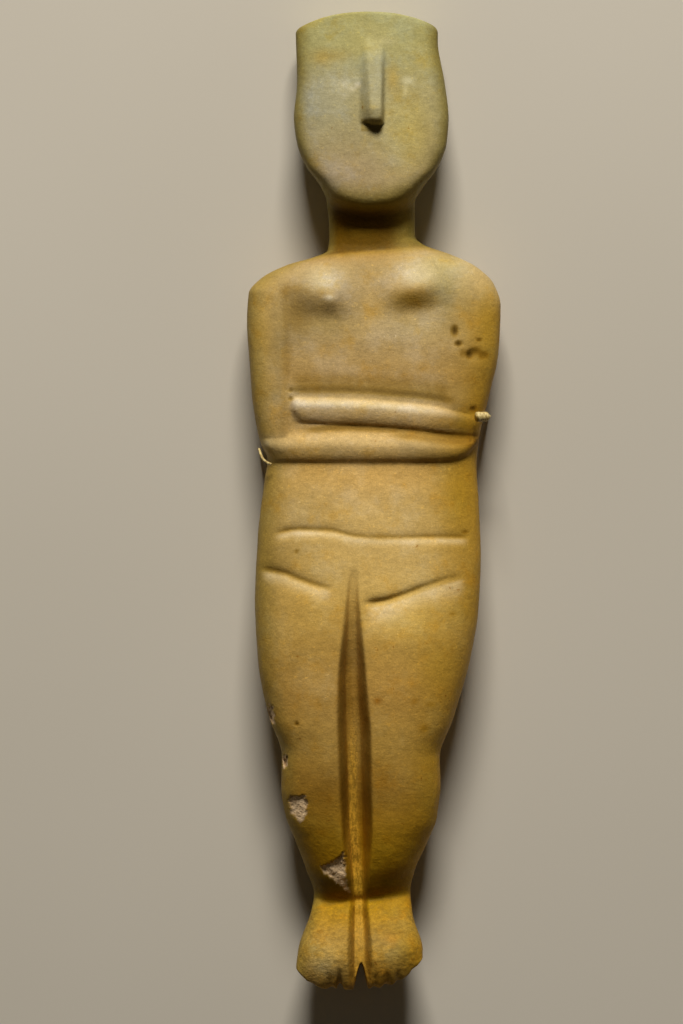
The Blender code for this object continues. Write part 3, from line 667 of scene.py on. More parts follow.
def pit_relief(x, y):
    """Depth of the pits and how dark they are."""
    depth = np.zeros_like(x)
    dark = np.zeros_like(x)
    for *place, deep, darkness in PITS:
        away = oval(x, y, *place)
        depth += deep * np.exp(-away)
        dark = np.maximum(dark, darkness * np.exp(-0.6 * away**1.5))
    return depth, dark


def toe_relief(x, y):
    return sum(
        deep * trough(x - place_x, half) * (1 - soft_step(y, top - TOE_NOTCH_FADE, top))
        for place_x, top, half, deep, _ in TOE_NOTCHES
    )


def hand_work(points):
    """Slight unevenness of stone rubbed down by hand, and weathering."""
    return sum(depth * lattice_noise(points, size, seed) for seed, (size, depth) in enumerate(HAND_WORK, 1))


def grid_normals(points):
    """Unit normals of a grid of points whose rows run up and columns across: outward on the front."""
    normals = np.cross(np.gradient(points, axis=1), np.gradient(points, axis=0))
    return normals / np.maximum(np.linalg.norm(normals, axis=-1, keepdims=True), 1e-9)


def carved_front(along, across):
    """Front surface with all its relief, and the masks that colour it."""
    points = surface(along, across, True)
    x, y, z = np.moveaxis(points, -1, 0)
    chip_depth, fresh = chip_relief(x, y)
    pit_depth, dark = pit_relief(x, y)
    sunk = chip_depth + pit_depth + toe_relief(x, y) - hand_work(points) * soft_step(z, 0, 4)
    points = points - grid_normals(points) * sunk[..., None]
    drop = edge_chips(points)
    points[..., 2] -= drop
    fresh = np.maximum(fresh, soft_step(drop, 0.1, 0.5))
    crust = groove_crust(x, y)
    walls = wall_shade(x, y) * (1 - clamped(crust))
    # Dark pits are dirt; the groove walls and the bands along the lines are painted shade and shadow.
    dirt_and_shade = np.maximum.reduce([dark, walls, painted_shade_and_dirt(x, y)]) * (1 - fresh)
    return points, {"fresh": fresh, "dirt_and_shade": dirt_and_shade, "crust": crust, "rough": roughened(y)}


def plain_back(along, across):
    """Back surface, a little sunk and uneven, and the same masks."""
    points = surface(along, across, False)
    x, y, z = np.moveaxis(points, -1, 0)
    sunk = np.maximum(0.2 + hand_work(points), 0) * soft_step(z, 0.2, 3)
    points = points + grid_normals(points) * sunk[..., None]
    blank = np.zeros_like(x)
    # Painted shade at the top of the notch between the feet.
    dirt_and_shade = notch_shade(x, y)
    return points, {"fresh": blank, "dirt_and_shade": dirt_and_shade, "crust": blank, "rough": roughened(y)}


# Crust and painted shade in the groove, by y; the crust's shift and reach are in half-widths of the groove.
CRUST_SHIFT = ((40, 0), (58, 0.3), (72, 0.22), (97, 0.08), (110, 0))  # towards -X
CRUST_REACH = ((46, 0.95), (72, 0.46))
CRUST_STRENGTH = ((20, 0.6), (38, 0.7), (46, 1.05), (56, 1.3), (66, 1.2), (78, 0.95))
CRUST_END = (90, 130)
# Painted shade on the groove's walls, by y.
WALL_SHADE = (
    (0, 0.24), (30, 0.16), (44, 0.3), (80, 0.42), (110, 0.36), (122, 0.33), (134, 0.23), (146, 0.03),
)
WALL_END = (148, 166)
WALL_LIP = (0.8, 1.05)
MINUS_WALL_SHARE = 1.2
PLUS_WALL_SHARE = 0.9
PLUS_WALL_PALE = (44, 54, 5)  # span where that share is smaller
PLUS_WALL_LOSS = 0.6
# Dark bands along a line, painted shade in the cut between the forearms and under the lower one, and dirt
# with painted shade in the hollow above them: the line, summed bands (offset up, reach, strength), span of
# x.
LINE_SHADE_AND_DIRT = (
    (LOWER_ARM_TOP, ((-0.8, 1.6, 0.62),), (-17, 48, 14)),
    (LOWER_ARM_TOP, ((-2.6, 2.2, 0.5),), (16, 48, 12)),
    (UPPER_ARM_TOP, ((0.2, 1.7, 0.58), (4, 3.2, 0.34)), (-26, 30, 9)),
    (LOWER_ARM_FOOT, ((-0.2, 0.9, 0.16),), (-40, 44, 4)),
)
# Painted shade beside the -X arm and in its armpit: middle x, reach, strength, span of y.
ARM_SHADES = ((-33.4, 2.4, 0.24, (232, 284, 8)), (-30, 6.5, 0.24, (272, 284, 7)))
NOSE_SHADOW = (0.35, (-3.4, 4.3, 0.8), (350.4, 354.6, 0.9))  # painted shadow under the nose tip: strength, spans of x and y
INCISION_SHADE = (0.4, 1, 0.28)  # painted shade in the cuts: offset up, reach, strength for a cut 1 deep
DARKEST_CUT = 1.3  # deeper ones are no darker
# Painted shade in the notch between the feet: strength, and its middle x.
NOTCH_SHADE = 0.6
NOTCH_SHADE_MIDDLE = 0.2


def groove_crust(x, y):
    middle, half, _ = groove_at(y)
    off = np.abs((x - middle) / half + ramp(CRUST_SHIFT, y)) / ramp(CRUST_REACH, y)
    there = (1 - soft_step(off, 0.2, 1)) * (1 - soft_step(y, *CRUST_END))
    return there * soft_step(y - notch_line(x), 0, 1) * ramp(CRUST_STRENGTH, y)


# Painted shade on the walls of the groove between the legs.
def wall_shade(x, y):
    middle, half, _ = groove_at(y)
    there = (1 - soft_step(np.abs(x - middle) / half, *WALL_LIP)) * (1 - soft_step(y, *WALL_END))
    plus_share = PLUS_WALL_SHARE - PLUS_WALL_LOSS * window(y, *PLUS_WALL_PALE)
    return ramp(WALL_SHADE, y) * there * np.where(x < middle, MINUS_WALL_SHARE, plus_share)


def notch_shade(x, y):
    """Painted shade at the top of the notch between the feet."""
    beside = 1 - soft_step(np.abs(x - NOTCH_SHADE_MIDDLE), 1.2, 2.8)
    return NOTCH_SHADE * beside * (1 - soft_step(y - notch_line(x), 0.4, 1.6))


def roughened(y):
    """The feet are weathered coarse."""
    return 1 - soft_step(y, 26, 46)


def painted_shade_and_dirt(x, y):
    """Dark bands painted along the carved lines and under the parts that stand out: painted shade and
    shadow, with some dirt in the hollow above the forearms.
    """
    strength, across, up = NOSE_SHADOW
    darks = [notch_shade(x, y), strength * window(x, *across) * window(y, *up)]
    for curve, bands, span in LINE_SHADE_AND_DIRT:
        above = y - line_at(curve, x)
        band = sum(strength * bell(above - offset, reach) for offset, reach, strength in bands)
        darks.append(band * window(x, *span))
    for middle, reach, strength, span in ARM_SHADES:
        darks.append(strength * bell(x - middle, reach) * window(y, *span))
    offset, reach, strength = INCISION_SHADE
    for curve, depths, _, _ in INCISIONS:
        depth = np.minimum(depth_along(curve, x, depths), DARKEST_CUT)
        there = bell(y - line_at(curve, x) - offset, reach) * line_ends(curve, x, 5, 5)
        darks.append(strength * depth * there)
    return np.maximum.reduce(darks)


# ---- colours of the stone, with painted shade and highlight
# Up the body: y, red, green, blue.  From y 302 to 318 the neck is dark: dark patina and painted half-shade
# near the collar, painted shadow of the chin above it; the dip from y 36 to 48 is painted shade at the
# ankles.
STONE = (
    (0, 0.51, 0.267, 0.028), (8, 0.49, 0.266, 0.032), (20, 0.41, 0.24, 0.04), (28, 0.42, 0.232, 0.018),
    (34, 0.41, 0.22, 0.006), (38, 0.3, 0.16, 0.003), (43, 0.185, 0.108, 0.002), (52, 0.46, 0.237, 0.006),
    (62, 0.475, 0.252, 0.012),
    (80, 0.455, 0.25, 0.035), (92, 0.46, 0.265, 0.045), (102, 0.55, 0.33, 0.065), (121, 0.53, 0.305, 0.062),
    (150, 0.59, 0.37, 0.083), (175, 0.62, 0.42, 0.135), (200, 0.65, 0.435, 0.15), (212, 0.69, 0.43, 0.125),
    (225, 0.68, 0.432, 0.135), (240, 0.62, 0.44, 0.18), (251, 0.54, 0.35, 0.12),
    (269, 0.53, 0.375, 0.155), (285, 0.445, 0.318, 0.135), (293, 0.44, 0.31, 0.125),
    (299, 0.4, 0.25, 0.075), (300.9, 0.34, 0.2, 0.035), (302.4, 0.125, 0.062, 0.003),
    (308, 0.175, 0.088, 0.004), (311, 0.2, 0.104, 0.004), (314, 0.125, 0.063, 0.003),
    (316.5, 0.08, 0.04, 0.002), (318.5, 0.18, 0.11, 0.003), (323, 0.3, 0.22, 0.06),
    (331, 0.35, 0.27, 0.13), (350, 0.35, 0.29, 0.14), (363, 0.355, 0.31, 0.15),
    (388, 0.34, 0.31, 0.12), (400, 0.35, 0.32, 0.12),
)
COLLAR_TILT = 0.1  # rise of the collar line towards +X
COLLAR_SPAN = (300, 308, 8)
NECK_EDGE = (296, 310)  # y between which the body's colours give way to the head's
# At the sides: colour, strength, share of the half-width from which it shows.  The ochre on the +X flank is
# a stain that also paints shade there; the olive on the -X flank and the dark olive rim of the head are
# painted shade.
FLANK_OCHRE_AND_SHADE = ((0.44, 0.24, 0.012), 0.8, 0.4)
FLANK_OLIVE_SHADE = ((0.3, 0.2, 0.03), 0.8, 0.72)
HEAD_EDGE_SHADE = ((0.23, 0.175, 0.03), 0.85, 0.76)
OCHRE_END = (274, 290)
OCHRE_PALE = (108, 146, 10)  # span where the ochre is weaker
OCHRE_LOSS = 0.55
# Paler colour on the parts that stand out: wear from handling, and painted highlight on the upper sides
# that face the light.
PALE_WEAR_AND_HIGHLIGHT = (0.75, 0.68, 0.46)
PALE_WEAR_AND_HIGHLIGHT_SHARE = 0.75
# Painted highlight on the lower lips of the cuts.
LIP_HIGHLIGHT_GOLD = (0.88, 0.72, 0.42)
NOSE_WEAR_AND_HIGHLIGHT = 0.1
ARM_LIFT_PALEST = 2.8  # the lift at which a forearm is palest
ARM_PALE_RISE = (212, 240)
UPPER_ARM_PALE = (-9, -5)  # offsets from the upper forearm's top between which its paleness sets in
LOWER_ARM_PALE_TOP = 229.5
BREAST_WEAR_AND_HIGHLIGHT = (0.6, 1, 4, 8, 7, 3.5)  # strength, shift across and up, half-width, reach up and down
ELBOW_LESS_PALE = (0.9, (18, 40), (216, 244, 2))  # share lost, x where that starts and is full, span of y
LIP_SHARE = 0.4
LIP_PLACE = (0.9, 0.12)  # below the line: a length, and a share of the cut's reach
LIP_REACH = (0.8, 0.3)  # up, and down as a share of the cut's reach
MOST_LIP = 0.8
FRONT_FROM = 20  # only the stone above this z is made paler
# Places of another colour: x, y, their half-sizes, red, green, blue, strength.  A few of them are painted
# light or shade, marked below.
PATCHES = (
    (-21, 363, 11, 12, 0.34, 0.32, 0.21, 0.8), (15, 350, 12, 18, 0.46, 0.36, 0.09, 0.7),
    (15, 371.2, 2.6, 1.6, 0.6, 0.56, 0.34, 0.8), (14.2, 367.4, 0.9, 2.6, 0.58, 0.52, 0.28, 0.6),
    (-5.3, 369.2, 1.3, 0.9, 0.66, 0.58, 0.38, 0.7), (-7.6, 367.5, 1.7, 0.9, 0.64, 0.58, 0.38, 0.7),
    (-10.7, 365, 1.9, 0.9, 0.54, 0.5, 0.34, 0.6), (-11.3, 78.7, 1.2, 1.3, 0.64, 0.37, 0.05, 0.7),
    (-9.1, 64.3, 1.1, 2, 0.62, 0.36, 0.03, 0.7), (6.9, 387.4, 3, 1.6, 0.48, 0.44, 0.22, 0.6),
    # Next line: the patch at (15, 312) is painted light on the +X side of the neck, in the chin's shadow.
    (15, 312, 6, 9, 0.4, 0.3, 0.06, 0.7), (-26, 192, 14, 15, 0.5, 0.33, 0.09, 0.6),
    (-34, 150, 9, 16, 0.5, 0.3, 0.06, 0.6), (19, 197, 12, 9, 0.52, 0.34, 0.09, 0.5),
    (-20, 380, 3, 3, 0.4, 0.27, 0.06, 0.5), (30, 296, 12, 6, 0.5, 0.41, 0.16, 0.6),
    (0, 388, 9, 6, 0.42, 0.36, 0.12, 0.5), (2, 370, 5, 14, 0.295, 0.285, 0.175, 0.7),
    (-17, 381, 8, 3, 0.38, 0.27, 0.06, 0.6), (-8, 334, 16, 8, 0.4, 0.3, 0.16, 0.6),
    (-13, 368, 5, 7, 0.44, 0.4, 0.23, 0.5), (21, 381, 7, 6, 0.44, 0.38, 0.15, 0.5),
    (-27, 275, 13, 12, 0.36, 0.24, 0.075, 0.75), (-41, 178, 6, 18, 0.28, 0.175, 0.035, 0.7),
    (-30, 178, 14, 8, 0.44, 0.28, 0.07, 0.5), (-38, 172, 6, 5, 0.32, 0.2, 0.035, 0.6),
    # Next line: the patch at (-17, 35.5) is a painted shadow along the -X ankle.
    (32, 134, 8, 8, 0.68, 0.43, 0.07, 0.6), (-17, 35.5, 6, 1.8, 0.25, 0.13, 0.005, 0.8),
    # Next line: both patches are painted shade on the calves just above the ankles.
    (-17, 41, 7, 5, 0.12, 0.065, 0.002, 0.7), (19, 43, 5, 5, 0.13, 0.075, 0.002, 0.6),
    (-18, 219.5, 22, 4.5, 0.44, 0.28, 0.07, 0.6), (42, 233, 9, 7, 0.17, 0.095, 0.01, 0.9),
    (-31, 233, 5, 6, 0.42, 0.27, 0.08, 0.5), (5, 48, 4, 6, 0.5, 0.28, 0.012, 0.6),
    (10, 276, 7, 8, 0.5, 0.34, 0.1, 0.4), (9, 372, 2.4, 5.5, 0.44, 0.3, 0.06, 0.6),
    (-11, 369.5, 2, 1.6, 0.52, 0.46, 0.26, 0.6), (30, 287, 7, 9, 0.42, 0.36, 0.15, 0.6),
    (32.5, 281, 3.5, 12, 0.33, 0.26, 0.095, 0.5), (40, 277, 4, 16, 0.52, 0.4, 0.15, 0.5),
    # Next line: both patches are painted shade under the breasts.
    (18, 281.5, 10, 4.5, 0.44, 0.25, 0.02, 0.8), (-19.5, 277, 9, 4.5, 0.46, 0.3, 0.09, 0.7),
    (3, 277, 6, 7, 0.66, 0.43, 0.13, 0.5), (22, 270, 12, 6, 0.58, 0.44, 0.19, 0.5),
    (-44, 262, 5, 24, 0.72, 0.46, 0.115, 0.8), (-36.5, 262, 3, 24, 0.44, 0.31, 0.11, 0.7),
    (49, 270, 6, 18, 0.56, 0.38, 0.075, 0.8), (46, 240, 5, 10, 0.5, 0.3, 0.035, 0.7),
    (-38, 195, 9, 30, 0.46, 0.3, 0.085, 0.7), (22, 152, 15, 11, 0.74, 0.5, 0.12, 0.6),
    (32, 126, 11, 18, 0.56, 0.32, 0.03, 0.5), (-17, 79, 13, 13, 0.26, 0.125, 0.005, 0.7),
    (38, 202, 10, 20, 0.42, 0.255, 0.022, 0.8), (-14, 118, 14, 26, 0.56, 0.36, 0.105, 0.5),
    (5.6, 118.4, 1.7, 1.3, 0.34, 0.13, 0.004, 0.9), (20.6, 118.3, 1.5, 1.2, 0.38, 0.17, 0.006, 0.8),
    (27.5, 117, 2.2, 1.3, 0.4, 0.19, 0.006, 0.7), (24.8, 107.3, 2.4, 2, 0.38, 0.18, 0.006, 0.8),
    (35.8, 154, 1.5, 1.1, 0.36, 0.17, 0.01, 0.7), (16.5, 23, 5, 11, 0.3, 0.18, 0.02, 0.8),
    # Next line: the patch at (-15.6, 281.9) is a painted highlight on the -X nipple.
    (-15.6, 281.9, 1.8, 1.2, 0.8, 0.66, 0.38, 0.8), (24, 221, 12, 4, 0.36, 0.22, 0.045, 0.6),
    (-16, 271, 10, 5, 0.38, 0.27, 0.09, 0.6), (27, 219, 13, 4, 0.44, 0.27, 0.06, 0.6),
    (13, 21, 3, 2.2, 0.62, 0.27, 0.02, 0.5), (-15, 11, 8, 7, 0.62, 0.45, 0.15, 0.7),
    (-19, 17, 4, 3, 0.3, 0.23, 0.07, 0.5), (-8, 22, 4, 3, 0.36, 0.22, 0.04, 0.5),
    (20, 27, 5, 5, 0.4, 0.32, 0.12, 0.6), (12, 14, 6, 4, 0.44, 0.31, 0.08, 0.5),
    (17, 7, 5, 4, 0.3, 0.2, 0.05, 0.6), (-9, 5, 4, 3.5, 0.26, 0.15, 0.03, 0.6),
    (-21, 5, 4, 4, 0.44, 0.27, 0.07, 0.5), (23, 10, 3, 5, 0.56, 0.33, 0.03, 0.6),
)


def worn_and_highlit_parts(x, y):
    """How pale the parts that stand out are made: worn by handling, and painted highlight on their lit
    upper sides; nose, forearms and breasts.
    """
    upper_arm = soft_step(y - line_at(UPPER_ARM_TOP, x), *UPPER_ARM_PALE) + (y < LOWER_ARM_PALE_TOP)
    paleness = NOSE_WEAR_AND_HIGHLIGHT * nose(x, y) / NOSE_LIFT
    paleness = paleness + forearms(x, y) / ARM_LIFT_PALEST * soft_step(y, *ARM_PALE_RISE) * upper_arm
    strength, shift_x, shift_y, half, reach_up, reach_down = BREAST_WEAR_AND_HIGHLIGHT
    for middle, crest, *_ in BREASTS:
        up = y - crest - shift_y
        reach = np.where(up > 0, reach_up, reach_down)
        paleness = paleness + strength * bell(x - middle - shift_x, half) * bell(up, reach)
    loss, across, span = ELBOW_LESS_PALE
    return clamped(paleness * (1 - loss * soft_step(x, *across) * window(y, *span)))


def painted_lip_highlights(x, y):
    """How much painted highlight the lower lips of the incisions get."""
    lips = 0
    for curve, _, _, reach in INCISIONS:
        past_lip = line_at(curve, x) - y - LIP_PLACE[0] - LIP_PLACE[1] * reach
        lip = bell(past_lip, np.where(past_lip < 0, LIP_REACH[0], LIP_REACH[1] * reach))
        lips = lips + LIP_SHARE * lip * line_ends(curve, x, 5, 5)
    return clamped(lips, MOST_LIP)


def stone_colour(points):
    """Broad colours: by y, ochre on the flanks, with painted shade at the sides, and paler where parts
    stand out, from wear and painted highlight.
    """
    x, y, z = np.moveaxis(points, -1, 0)
    level = y - COLLAR_TILT * x * window(y, *COLLAR_SPAN) - chin_curve(x, y)
    base = np.stack([smooth_through(STONE, column, level) for column in (1, 2, 3)], axis=-1)

    def blend(colour, amount):
        return base + (np.array(colour) - base) * amount[..., None]

    def sides(tone, out, where):
        colour, strength, start = tone
        return blend(colour, strength * soft_step(out, start, 1) * where)

    for *place, red, green, blue, strength in PATCHES:
        base = blend((red, green, blue), strength * np.exp(-oval(x, y, *place)))
    edge = x / half_width(y, x)
    on_head = soft_step(y, *NECK_EDGE)
    ochre = (1 - soft_step(y, *OCHRE_END)) * (1 - OCHRE_LOSS * window(y, *OCHRE_PALE))
    # Ochre stain with painted shade on the +X flank, painted shade on the -X flank and at the rim of the
    # head.
    base = sides(FLANK_OCHRE_AND_SHADE, edge, ochre)
    base = sides(FLANK_OLIVE_SHADE, -edge, 1 - on_head)
    base = sides(HEAD_EDGE_SHADE, np.abs(edge), on_head)
    # Wear with painted highlight on the parts that stand out.
    base = blend(PALE_WEAR_AND_HIGHLIGHT, PALE_WEAR_AND_HIGHLIGHT_SHARE * worn_and_highlit_parts(x, y) * (z > FRONT_FROM))
    # Painted highlight on the lower lips of the cuts.
    return blend(LIP_HIGHLIGHT_GOLD, painted_lip_highlights(x, y) * (z > FRONT_FROM))


# ---- meshes
def to_metres(points):
    """Body units to metres in the CAD's frame."""
    middle = (LOW + HIGH) / 2
    origin = np.array([middle[0], middle[1], LOW[2]])
    return (np.asarray(points) - (BOX_MIDDLE, LENGTH / 2, 0)) * UNIT + origin


def numbered(first, rows, columns):
    """Numbers of a grid's vertices, the first one given."""
    return first + np.arange(rows * columns).reshape(rows, columns)


def grid_faces(ids):
    """Quads between the vertices of a grid."""
    corners = ids[:-1, :-1], ids[:-1, 1:], ids[1:, 1:], ids[1:, :-1]
    return np.stack(corners, axis=-1).reshape(-1, 4).tolist()


def zip_chains(chain_a, keys_a, chain_b, keys_b):
    """Triangles of a strip between two chains of vertices, matched by their keys."""
    chains, at, triangles = (chain_a, chain_b), [0, 0], []
    for _, side in sorted([(key, 0) for key in keys_a[1:]] + [(key, 1) for key in keys_b[1:]]):
        first, last = chain_a[at[0]], chain_b[at[1]]
        at[side] += 1
        triangles.append((first, chains[side][at[side]], last))
    return triangles


def figurine_mesh():
    """Fine front and coarser back, joined along their sides and their ends."""
    along_f = spread(0, LENGTH, ROWS, ROW_FOCUS)
    along_b = along_f[::2]
    across_f = np.sin(np.pi / 2 * spread(-1, 1, FRONT_COLUMNS, COLUMN_FOCUS))
    across_b = BACK_INSET * np.sin(np.pi / 2 * spread(-1, 1, BACK_COLUMNS, BACK_FOCUS))
    front, front_masks = carved_front(*np.meshgrid(along_f, across_f, indexing="ij"))
    back, back_masks = plain_back(*np.meshgrid(along_b, across_b, indexing="ij"))
    front_ids = numbered(0, *front.shape[:2])
    back_ids = numbered(front_ids.size, *back.shape[:2])
    faces = grid_faces(front_ids) + [corners[::-1] for corners in grid_faces(back_ids)]
    for edge, flip in ((0, False), (-1, True)):
        side = zip_chains(front_ids[:, edge], along_f, back_ids[:, edge], along_b)
        faces += [corners[::-1] if flip else corners for corners in side]
        end = zip_chains(front_ids[edge], across_f, back_ids[edge], across_b)
        faces += [corners if flip else corners[::-1] for corners in end]

    points = np.concatenate([front.reshape(-1, 3), back.reshape(-1, 3)])
    mesh = bpy.data.meshes.new("marble_figurine")
    mesh.from_pydata(to_metres(points).tolist(), [], [tuple(int(v) for v in face) for face in faces])
    mesh.update()
    for name, mask in front_masks.items():
        values = np.concatenate([mask.ravel(), back_masks[name].ravel()])
        mesh.attributes.new(name, "FLOAT", "POINT").data.foreach_set("value", values.astype(np.float32))
    stone = np.concatenate([stone_colour(points), np.ones((len(points), 1))], axis=-1)
    layer = mesh.attributes.new("stone", "FLOAT_COLOR", "POINT")
    layer.data.foreach_set("color", stone.astype(np.float32).ravel())
    mesh.shade_smooth()
    return mesh


def placed(name, data):
    """A new object in the scene."""
    thing = bpy.data.objects.new(name, data)
    bpy.context.scene.collection.objects.link(thing)
    return thing


def show(name, data, material, slot, *nodes):
    """Put a piece in the scene, on the body, in place of CAD nodes."""
    piece = placed(name, data)
    data.materials.append(material)
    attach(piece, "root")
    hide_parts(*nodes)


# ---- materials
class Look:
    """A Principled material, with short ways to add and join nodes."""

    def __init__(self, name):
        self.material = bpy.data.materials.new(name)
        self.material.use_nodes = True
        self.tree = self.material.node_tree
        self.place = self.add("TexCoord")["Object"]

    def put(self, node, inputs):
        """Join inputs of a node to sockets, or set their values."""
        for key, value in inputs.items():
            socket = node.inputs[key]
            if isinstance(value, bpy.types.NodeSocket):
                self.tree.links.new(value, socket)
            else:
                socket.default_value = (*value, 1) if socket.type == "RGBA" else value

    def add(self, kind, inputs=None, **settings):
        """A new node with its settings and inputs; returns its outputs."""
        node = self.tree.nodes.new("ShaderNode" + kind)
        for name, value in settings.items():
            setattr(node, name, value)
        self.put(node, inputs or {})
        return node.outputs

    def finish(self, inputs):
        """Put the inputs of the Principled shader and return the material."""
        self.put(self.tree.nodes["Principled BSDF"], inputs)
        return self.material

    def stretched(self, scale):
        return self.add("Mapping", {"Vector": self.place, "Scale": scale})["Vector"]

    def noise(self, scale, detail=2, roughness=0.5, place=None):
        inputs = {"Vector": place or self.place, "Scale": scale, "Detail": detail, "Roughness": roughness}
        return self.add("TexNoise", inputs)["Fac"]

    def cells(self, scale, output="Distance"):
        return self.add("TexVoronoi", {"Vector": self.place, "Scale": scale})[output]

    def mask(self, name, output="Fac"):
        return self.add("Attribute", attribute_name=name)[output]

    def ranged(self, value, low, high, start=0, end=1):
        """Value from low..high to start..end, smooth and clamped."""
        inputs = {"Value": value, "From Min": low, "From Max": high, "To Min": start, "To Max": end}
        return self.add("MapRange", inputs, interpolation_type="SMOOTHSTEP")["Result"]

    def times(self, a, b):
        return self.add("Math", {0: a, 1: b}, operation="MULTIPLY")[0]

    def mix(self, amount, a, b, blend="MIX"):
        inputs = {"Factor": amount, "A": a, "B": b}
        return self.add("Mix", inputs, data_type="RGBA", blend_type=blend)["Result"]

    def tinted(self, amount, colour, factor):
        """Colour multiplied by the factor where the amount is 1."""
        return self.mix(1, colour, self.mix(amount, (1, 1, 1), factor), "MULTIPLY")

    def bump(self, layers):
        """Normal of bumps one over the other: (height, distance in millimetres)."""
        under = {}
        for height, millimetres in layers:
            normal = self.add("Bump", {"Height": height, "Distance": millimetres / 1000, **under})["Normal"]
            under = {"Normal": normal}
        return normal


# Mottling: noise (scale, detail, roughness), values where it starts and is full, colour factor.
MOTTLING = (
    ((34, 4, 0.55), 0.4, 0.7, (1.07, 1.09, 1.2)), ((85, 4, 0.65), 0.52, 0.74, (1.00, 0.9, 0.62)),
    ((520, 3, 0.7), 0.62, 0.7, (1.26, 1.22, 1.05)), ((240, 3, 0.7), 0.68, 0.75, (0.7, 0.54, 0.36)),
    ((64, 4, 0.7), 0.46, 0.66, (1.03, 1.09, 1.34)), ((430, 3, 0.8), 0.65, 0.73, (1.24, 1.3, 1.5)),
)
GRAINS = ((150, 0.95, 1.05), (560, 0.93, 1.06), (1900, 0.9, 1.09))  # scale, darkest, lightest
ALONG_X = (0.3, 1, 1)  # stretches the streaks
FOOT_STRETCH = (0.6, 1, 1)  # and the marks of the feet
CRUST_STRETCH = (1.2, 0.42, 1)
FOOT_GREY = (0.9, 0.93, 1.05)
FOOT_GOLD = (1.1, 0.99, 0.68)
# Dark earth and the warm tint around it: dirt in the pits, and painted shade and shadow in the cuts, the
# groove, the notch and under the nose.
DIRT_AND_SHADE_HALO = (1, 0.91, 0.56)
EARTH_AND_SHADE = (0.084, 0.041, 0.003)
CRUST_ORANGE = (0.74, 0.41, 0.04)
CRUST_GREY = (0.32, 0.18, 0.015)
CRUST_COVER = 0.75
FRESH = (0.84, 0.62, 0.38)
FRESH_SHADE = (0.7, 0.49, 0.28)
SHEEN = (1, 0.82, 0.4)
CREAM = (0.74, 0.6, 0.26)
CREAM_SHADE = (0.38, 0.26, 0.08)
FLOOR_PALE = (0.63, 0.59, 0.51)
FLOOR_SHADE = (0.6, 0.56, 0.48)


def marble():
    """Weathered marble: mottled stone, coarse feet, crust, dirt and painted shade, and fresh stone in the
    chips.
    """
    look = Look("weathered_marble")
    colour = look.mask("stone", "Color")
    for noise, low, high, factor in MOTTLING:
        colour = look.tinted(look.ranged(look.noise(*noise), low, high), colour, factor)
    streaks = look.noise(800, 4, 0.65, look.stretched(ALONG_X))
    grains = [(look.noise(scale, 3, 0.6), dark, light) for scale, dark, light in GRAINS]
    for grain, dark, light in (*grains, (streaks, 0.95, 1.05)):
        colour = look.mix(1, colour, look.ranged(grain, 0.3, 0.7, dark, light), "MULTIPLY")

    rough = look.mask("rough")
    foot_place = look.stretched(FOOT_STRETCH)
    grey = look.ranged(look.noise(90, 4, 0.7), 0.44, 0.62)
    gold = look.ranged(look.noise(150, 4, 0.75, foot_place), 0.5, 0.68)
    grain = look.ranged(look.noise(700, 3, 0.8, foot_place), 0.3, 0.7, 0.8, 1.2)
    colour = look.tinted(look.times(rough, grey), colour, FOOT_GREY)
    colour = look.tinted(look.times(rough, gold), colour, FOOT_GOLD)
    colour = look.mix(rough, colour, look.mix(1, colour, grain, "MULTIPLY"))

    crust = look.mask("crust")
    marks = look.noise(900, 4, 0.7, look.stretched(CRUST_STRETCH))
    crusted = look.mix(look.ranged(marks, 0.38, 0.62), CRUST_GREY, CRUST_ORANGE)
    colour = look.mix(look.times(crust, CRUST_COVER), colour, crusted)
    # The stone darkens towards dark earth by the dirt and painted shade mask.
    dirt_and_shade = look.mask("dirt_and_shade")
    colour = look.mix(dirt_and_shade, look.tinted(look.ranged(dirt_and_shade, 0, 0.5), colour, DIRT_AND_SHADE_HALO), EARTH_AND_SHADE)
    fresh = look.mask("fresh")
    crystals = look.mix(look.ranged(look.cells(900, "Color"), 0.2, 0.8), FRESH_SHADE, FRESH)

    bumps = (
        (look.noise(160, 4, 0.6), 0.22), (streaks, 0.07),
        (look.times(look.noise(330, 4, 0.7), rough), 0.55), (look.noise(1000, 3, 0.6), 0.12),
        (look.times(marks, crust), 0.3), (look.times(look.cells(1100), fresh), 0.15),
    )
    return look.finish({
        "Base Color": look.mix(fresh, colour, crystals),
        "Roughness": look.ranged(look.noise(300, 3), 0.3, 0.7, 0.52, 0.68),
        "Specular IOR Level": 0.2, "Specular Tint": SHEEN, "Normal": look.bump(bumps),
    })


def coating():
    look = Look("cream_mount_coating")
    colour = look.mix(look.ranged(look.noise(900, 3), 0.35, 0.65), CREAM_SHADE, CREAM)
    normal = look.bump([(look.noise(1500, 2), 0.1)])
    return look.finish({"Base Color": colour, "Roughness": 0.45, "Normal": normal})


def pale_floor():
    look = Look("pale_floor")
    colour = look.mix(look.ranged(look.noise(3, 2), 0.3, 0.7), FLOOR_SHADE, FLOOR_PALE)
    return look.finish({"Base Color": colour, "Roughness": 0.85})


# ---- studio
CHEST = Vector(to_metres((0, 262, 34)))
FLOOR_HALF = 3
KEY_ELEVATION = math.radians(34)
KEY_DISTANCE = 2.4
KEY_OFFSET = KEY_DISTANCE * Vector((0, math.cos(KEY_ELEVATION), math.sin(KEY_ELEVATION)))
LAMPS = (  # name, offset from the chest, size, watts, colour
    ("key", KEY_OFFSET, (0.9, 0.66), 74.5, (1, 0.95, 0.87)),
    ("fill", Vector((0, -0.3, 1.6)), (1.6, 1.6), 0.7, (1, 0.82, 0.56)),
)
ROOM_COLOUR = (1, 0.88, 0.68, 1)
ROOM_STRENGTH = 0.015


